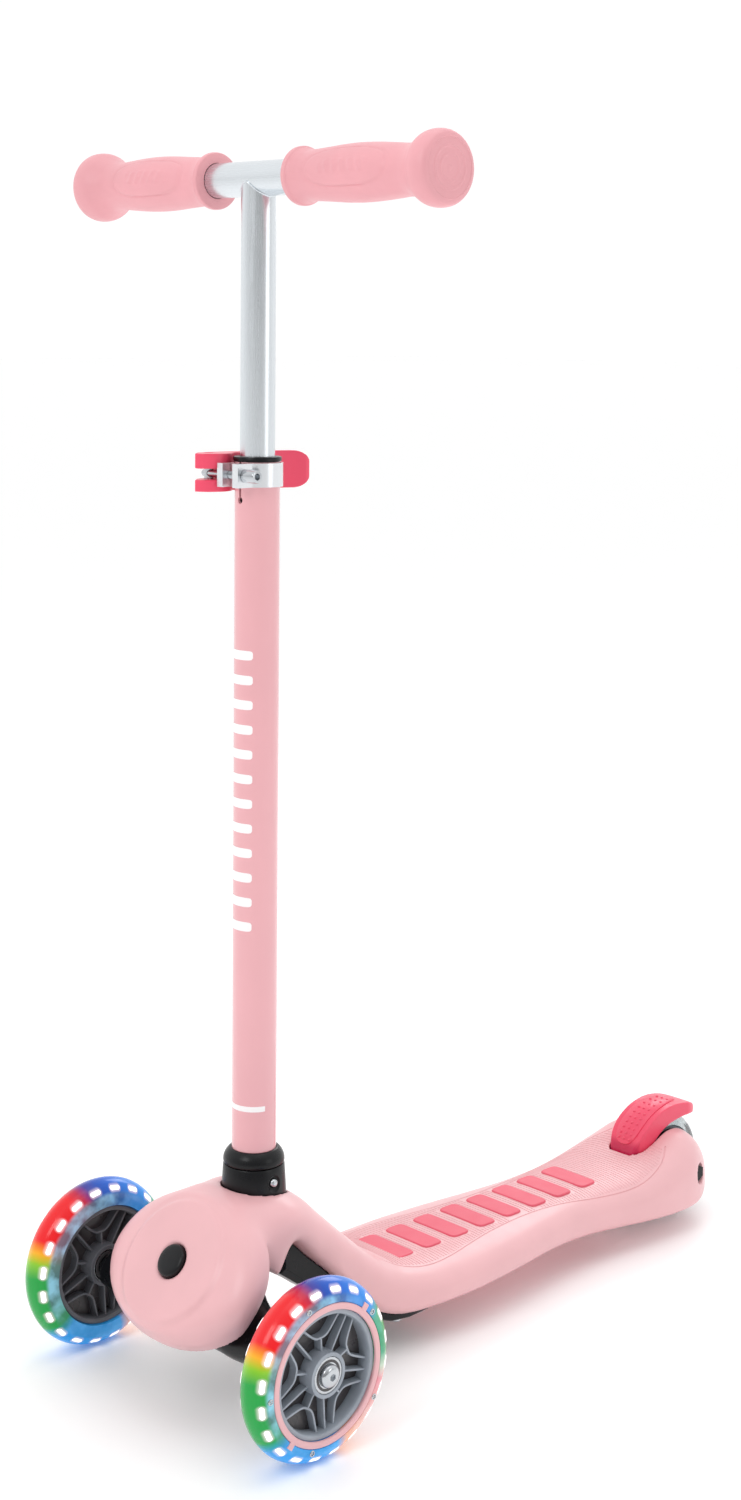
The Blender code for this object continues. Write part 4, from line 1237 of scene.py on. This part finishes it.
def dash(side, facing, k):
    """One lit dash on a tyre's shoulder: a low dome, round at both ends."""
    middle = 2 * math.pi * (k + 0.5) / DASHES
    rings = []
    for size, height in ((1.0, -0.0003), (1.0, 0.00005), (0.86, 0.0002), (0.55, 0.0003)):
        ring = []
        for i in range(20):
            turn = 2 * math.pi * i / 20
            straight = math.copysign(DASH_HALF - DASH_WIDE, math.cos(turn))
            along = size * (straight + DASH_WIDE * math.cos(turn))
            across = size * DASH_WIDE * math.sin(turn)
            radius = DASH_R + across * math.sin(DASH_SLOPE) + height * math.cos(DASH_SLOPE)
            x = DASH_X - across * math.cos(DASH_SLOPE) + height * math.sin(DASH_SLOPE)
            ring.append(in_wheel(side * facing, radius, middle + along / DASH_R, x))
        rings.append(ring)
    return loft(rings)


def light_part(side, turn):
    """A small round light in the tyre's clear inner band: a washer round a dome."""
    place = in_wheel(side, 0.0455, turn, 0.0112)
    ring = revolve(((0.0010, 0.0), (0.0019, 0.0), (0.0019, 0.0009), (0.0016, 0.0012), (0.0012, 0.0012),
                    (0.0010, 0.0009)), place, (side, 0, 0), 24)
    dome = revolve(((0, -0.0003), (0.0007, -0.0003), (0.0007, 0.0008), (0.0004, 0.0011), (0, 0.0012)), place,
                   (side, 0, 0), 16)
    return gathered([ring, dome])


def front_tyre(name, side, centre):
    """Lit tyre with its dashes and the small lights in it."""
    node = f"front_{name}_tyre"
    crown = smooth_line((
        (0.0440, -TYRE_HALF), (0.0478, -0.0110), (0.0512, -0.0086), (0.0537, -0.0052), (FRONT_R, 0.0),
        (0.0537, 0.0052), (0.0512, 0.0086), (0.0478, 0.0110), (0.0448, TYRE_HALF)), 5)
    profile = [(0.0395, -TYRE_HALF)] + crown + [
        (0.0433, TYRE_HALF), (0.0433, 0.0104), (0.0395, 0.0104), (0.0395, 0.0052), (0.0430, 0.0052),
        (0.0430, -0.0052), (0.0395, -0.0052)]
    tyre = revolve(profile, centre, (side, 0, 0), 128)
    stand_in(node, "turned", tyre, f"lit_{name}", origin=centre)
    dashes = [dash(side, facing, k) for facing in (1, -1) for k in range(DASHES)]
    piece(f"front_{name}_dashes", gathered(dashes), "light", node, centre=centre)
    small = gathered([light_part(side, math.radians(turn)) for turn in (20, 92, 164, 236, 308)])
    piece(f"front_{name}_small_lights", small, "steel", node, centre=centre)


# Turns from the top to the two tabs of a trim ring.
TAB_TURNS = (-0.116, 0.384)


def trim_ring(name, side, centre):
    """Pink ring on the outer face, with two small tabs."""
    node = f"front_{name}_trim_ring"
    ring = revolve((
        (0.0388, 0.0107), (0.0429, 0.0107), (0.0429, 0.0119), (0.0426, 0.0123), (0.0420, 0.0125),
        (0.0396, 0.0125), (0.0391, 0.0123), (0.0388, 0.0119)), (0, 0, 0), (side, 0, 0))
    tabs = []
    for turn in TAB_TURNS:
        middle = 2 * math.pi * turn
        path = [(radius, middle) for radius in (0.0420, 0.0445, 0.0466)]
        tabs.append(ribbon(path, 0.0042, 0.0108, 0.0126, side))
    stand_in(node, "turned", gathered([ring] + tabs), "pink", bevel=0.0002, centre=centre)


def front_wheel(name, side):
    """Everything that turns in one front wheel."""
    centre = Vector((side * FRONT.x, FRONT.y, FRONT.z))
    front_tyre(name, side, centre)
    trim_ring(name, side, centre)
    wheel_core(f"front_{name}", side, centre, half=0.0104, rim_out=0.0391, rim_in=0.0352, hub_half=0.0122,
               material=f"rim_{name}")
    for facing, label in ((1, "outer"), (-1, "inner")):
        shield = revolve(((0.0078, 0.0117), (0.0094, 0.0117), (0.0094, 0.0121), (0.0078, 0.0121)), (0, 0, 0),
                         (side * facing, 0, 0), 64)
        piece(f"front_{name}_shield_{label}", shield, "web", f"front_{name}_bearing_{label}", centre=centre)
    axle_bolt(name, side)


def axle_bolt(name, side):
    """Front axle bolt with a domed head and a hexagonal recess."""
    axle = (0, FRONT.y, FRONT.z)
    head = ((0.0070, 0.1198), (0.0070, 0.1213), (0.0066, 0.1222), (0.0056, 0.1230), (0.0042, 0.1235),
            (0.0026, 0.1236), (0, 0.1236))
    bolt = revolve(((0, 0.0620), (0.00395, 0.0620), (0.00395, 0.1198)) + head, axle, (side, 0, 0), 48)
    socket = rod(0.0024, 0.1214, 0.13, axle, (side, 0, 0), 6)
    stand_in(f"axle_bolt_{name}", "turned", minus(bolt, socket), "steel")


def rear_wheel():
    """Smoky rear tyre on its grey core."""
    crown = smooth_line((
        (0.0322, -REAR_HALF), (0.0353, -0.0092), (0.0374, -0.0052), (REAR_R, 0.0), (0.0374, 0.0052),
        (0.0353, 0.0092), (0.0322, REAR_HALF)), 5)
    tyre = revolve([(0.0285, -REAR_HALF)] + crown + [(0.0285, REAR_HALF)], REAR, (1, 0, 0), 128)
    stand_in("rear_tyre", "turned", tyre, "smoke", origin=REAR)
    wheel_core("rear", 1, REAR, half=0.0102, rim_out=0.0282, rim_in=0.0250, hub_half=0.0110, material="rim")


# ---------------------------------------------------------------- brake

# Side view of the pedal: Y and Z along its underside, its top and the foot round its pin.
PEDAL_UNDER = (
    (0.3655, 0.0400), (0.3790, 0.0530), (0.3850, 0.0590), (0.3890, 0.0640), (0.3960, 0.0694),
    (0.4050, 0.0735), (0.4150, 0.0755), (0.4240, 0.0762), (0.4314, 0.0756), (0.4380, 0.0744))
PEDAL_OVER = (
    (0.4460, 0.0782), (0.4425, 0.0806), (0.4360, 0.0836), (0.4268, 0.0862), (0.4121, 0.0878),
    (0.3978, 0.0858), (0.3870, 0.0814), (0.3790, 0.0758), (0.3728, 0.0695), (0.3695, 0.0640),
    (0.3677, 0.0580), (0.3664, 0.0500), (0.3658, 0.0468))
PEDAL_FOOT = (
    (0.3640, 0.0460), (0.3600, 0.0456), (0.3561, 0.0439), (0.3545, 0.0400), (0.3561, 0.0361),
    (0.3600, 0.0345), (0.3639, 0.0361))
# Its front and rear as seen from above: X and Y. Then one stud of its tread: radius and height.
PEDAL_FRONT = (
    (0.0058, 0.3657), (0.0090, 0.3668), (0.0117, 0.3692), (0.0135, 0.3725), (0.0145, 0.3762),
    (0.0152, 0.3800))
PEDAL_REAR = (
    (0.0154, 0.4270), (0.0146, 0.4325), (0.0126, 0.4380), (0.0093, 0.4425), (0.0052, 0.4452), (0.0, 0.4461))
STUD = ((0, 0.0), (0.0012, 0.0), (0.0011, 0.0013), (0.0007, 0.0016), (0, 0.0017))


def pedal_corners(side):
    """What is cut from one side of the pedal to round its front and rear as seen from above."""
    front = [(0.0300, 0.3600), (0.0058, 0.3600)] + smooth_line(PEDAL_FRONT, 4) + [(0.0300, 0.3800)]
    rear = [(0.0300, 0.4270)] + smooth_line(PEDAL_REAR, 4) + [(0.0, 0.4600), (0.0300, 0.4600)]
    return [slab([(side * x, y) for x, y in outline], low, 0.1, flat)
            for outline, low in ((front, 0.0462), (rear, 0.0600))]


def at_tip(point):
    """Weight of the extra rounding of the pedal's rear tip: 0 to 1."""
    return share_of(point.y, 0.4240, 0.010)


def pedal():
    """Coral fender brake with rounded corners, and the hollow over the wheel."""
    outline = smooth_line(PEDAL_UNDER, 5) + [(0.4430, 0.0740), (0.4460, 0.0757)] + smooth_line(PEDAL_OVER, 6)
    body = slab(outline + smooth_line(PEDAL_FOOT, 4), -PEDAL_HALF, PEDAL_HALF, sideways)
    body = minus(body, rod(PEDAL_GAP_R, -0.0120, 0.0120, REAR, (1, 0, 0), 96),
                 block((0.0095, 0.350, 0.030), (0.030, 0.3700, 0.0480)))
    body = minus(body, *pedal_corners(1), *pedal_corners(-1))
    body = minus(body, rod(BRAKE_PIN_R, -0.05, 0.05, PIVOT, (1, 0, 0), 24))
    # The pedal's material carries painted shade low on its front.
    stand_in("brake_pedal", "skin", softened(skin(body, 0.0005, 8), at_tip, 90), "pedal", origin=PIVOT)
    pedal_plateau()


def pedal_plateau():
    """Raised tread on top of the pedal, with rows of plain studs."""
    path = smooth_line(PEDAL_OVER[3:10], 20)
    loops = []
    studs = []
    for k, (y, z) in enumerate(path):
        share = -1 + 2 * k / (len(path) - 1)
        half = 0.0104 * max(0.0010, 1 - abs(share) ** 3.2) ** (1 / 2)
        before = path[max(k - 1, 0)]
        after = path[min(k + 1, len(path) - 1)]
        ahead = Vector((0, after[0] - before[0], after[1] - before[1])).normalized()
        up = ahead.cross(Vector((1, 0, 0)))
        up = up if up.z > 0 else -up
        here = Vector((0, y, z))
        section = ((-1, -0.0014), (-1, 0.0005), (-0.93, 0.0010), (0.93, 0.0010), (1, 0.0005), (1, -0.0014))
        loops.append([here + Vector((x * half, 0, 0)) + height * up for x, height in section])
        if k % 10 == 6 and 0.08 < k / len(path) < 0.92:
            studs.extend(revolve(STUD, here + Vector((x, 0, 0)), up, 20) for x in (-0.0050, 0.0, 0.0050))
    piece("brake_pedal_tread", gathered([loft(loops)] + studs), "coral", "brake_pedal", angle=50)


# ---------------------------------------------------------------- setting

def camera():
    """The camera, low and front left of the scooter."""
    yaw = math.radians(46.17)
    pitch = math.radians(4.01)
    roll = math.radians(0.50)
    data = bpy.data.cameras.new("camera")
    data.sensor_fit = "AUTO"
    data.sensor_width = 36.0
    data.lens = 54.67
    data.shift_y = -0.18
    ahead = Vector((-math.sin(yaw) * math.cos(pitch), math.cos(yaw) * math.cos(pitch), -math.sin(pitch)))
    right = Vector((math.cos(yaw), math.sin(yaw), 0))
    up = right.cross(ahead)
    right, up = math.cos(roll) * right + math.sin(roll) * up, math.cos(roll) * up - math.sin(roll) * right
    obj = bpy.data.objects.new("camera", data)
    turned = Matrix((right, up, -ahead)).transposed().to_4x4()
    obj.matrix_world = Matrix.Translation(Vector((1.0803, -1.1130, 0.6803))) @ turned
    bpy.context.scene.collection.objects.link(obj)
    bpy.context.scene.camera = obj


def light(name, place, target, size, power):
    """A soft square lamp aimed at a point."""
    data = bpy.data.lights.new(name, "AREA")
    data.energy = power
    data.size = size
    obj = bpy.data.objects.new(name, data)
    obj.location = place
    obj.rotation_euler = (Vector(target) - Vector(place)).to_track_quat("-Z", "Y").to_euler()
    bpy.context.scene.collection.objects.link(obj)


def studio():
    """White surroundings, dimmer on the camera's side, so that tubes and metal show their roundness."""
    world = bpy.data.worlds.new("studio")
    world.use_nodes = True
    tree = world.node_tree
    where = tree.nodes.new("ShaderNodeTexCoord")
    dot = tree.nodes.new("ShaderNodeVectorMath")
    dot.operation = "DOT_PRODUCT"
    dot.inputs[1].default_value = (-0.62, 0.55, 0.56)
    level = tree.nodes.new("ShaderNodeMapRange")
    for name, number in (("From Min", -0.75), ("From Max", 0.30), ("To Min", 0.34), ("To Max", 1.03)):
        level.inputs[name].default_value = number
    tree.links.new(where.outputs["Generated"], dot.inputs[0])
    tree.links.new(dot.outputs["Value"], level.inputs["Value"])
    tree.links.new(level.outputs["Result"], tree.nodes["Background"].inputs["Strength"])
    tree.nodes["Background"].inputs["Color"].default_value = (1, 1, 1, 1)
    bpy.context.scene.world = world
    bpy.context.scene.view_settings.view_transform = "Standard"


# Name, place, target, size and power of each lamp.
LAMPS = (
    ("key", (0.2, -1.5, 1.4), (0, 0, 0.3), 0.7, 5.5),
    ("top", (0.3, 0.1, 2.2), (0, 0, 0.1), 1.6, 5),
    ("fill", (1.9, 0.5, 0.8), (0, 0, 0.2), 0.7, 2.2),
    ("back", (-0.8, 1.5, 1.2), (0, 0.1, 0.2), 0.7, 4),
)


def setting():
    """Pale floor and soft studio light."""
    studio()
    for lamp in LAMPS:
        light(*lamp)
    bpy.ops.mesh.primitive_plane_add(size=60, location=(0, 0, 0))
    floor = bpy.context.object
    floor.name = "floor"
    pale = moulded("pale_floor", linear(254, 254, 254), 0.6, grain=200.0, mottle=0.002)
    shader = pale.node_tree.nodes["Principled BSDF"]
    shader.inputs["Emission Color"].default_value = (1, 1, 1, 1)
    shader.inputs["Emission Strength"].default_value = 0.07
    floor.data.materials.append(pale)


# Steel hardware painted black as painted shade, so that the rear axle bore looks dark.
BORE_SHADE_BLACK = {"rear_axle_bolt", "rear_axle_nut"}


def hardware():
    """Small CAD pieces shown with their own shapes."""
    done = {name for obj in bpy.data.objects for name in obj.get("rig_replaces", [])}
    for node in sorted(frame["nodes"]):
        if node in done:
            continue
        # The rear axle bolt and nut take the black plastic as painted shade in the bore.
        refined(node, 0.0006 if node == "deck_inlay" else 0.0002, "black" if node in BORE_SHADE_BLACK else None)


def main():
    """Build every piece."""
    camera()
    shell()
    collar()
    outer_tube()
    column_print()
    clamp_band()
    clamp_bolt()
    clamp_lever()
    stem_and_bar()
    grip("grip_left", 1)
    grip("grip_right", -1)
    truck()
    front_wheel("left", 1)
    front_wheel("right", -1)
    rear_wheel()
    pedal()
    hardware()
    setting()


main()
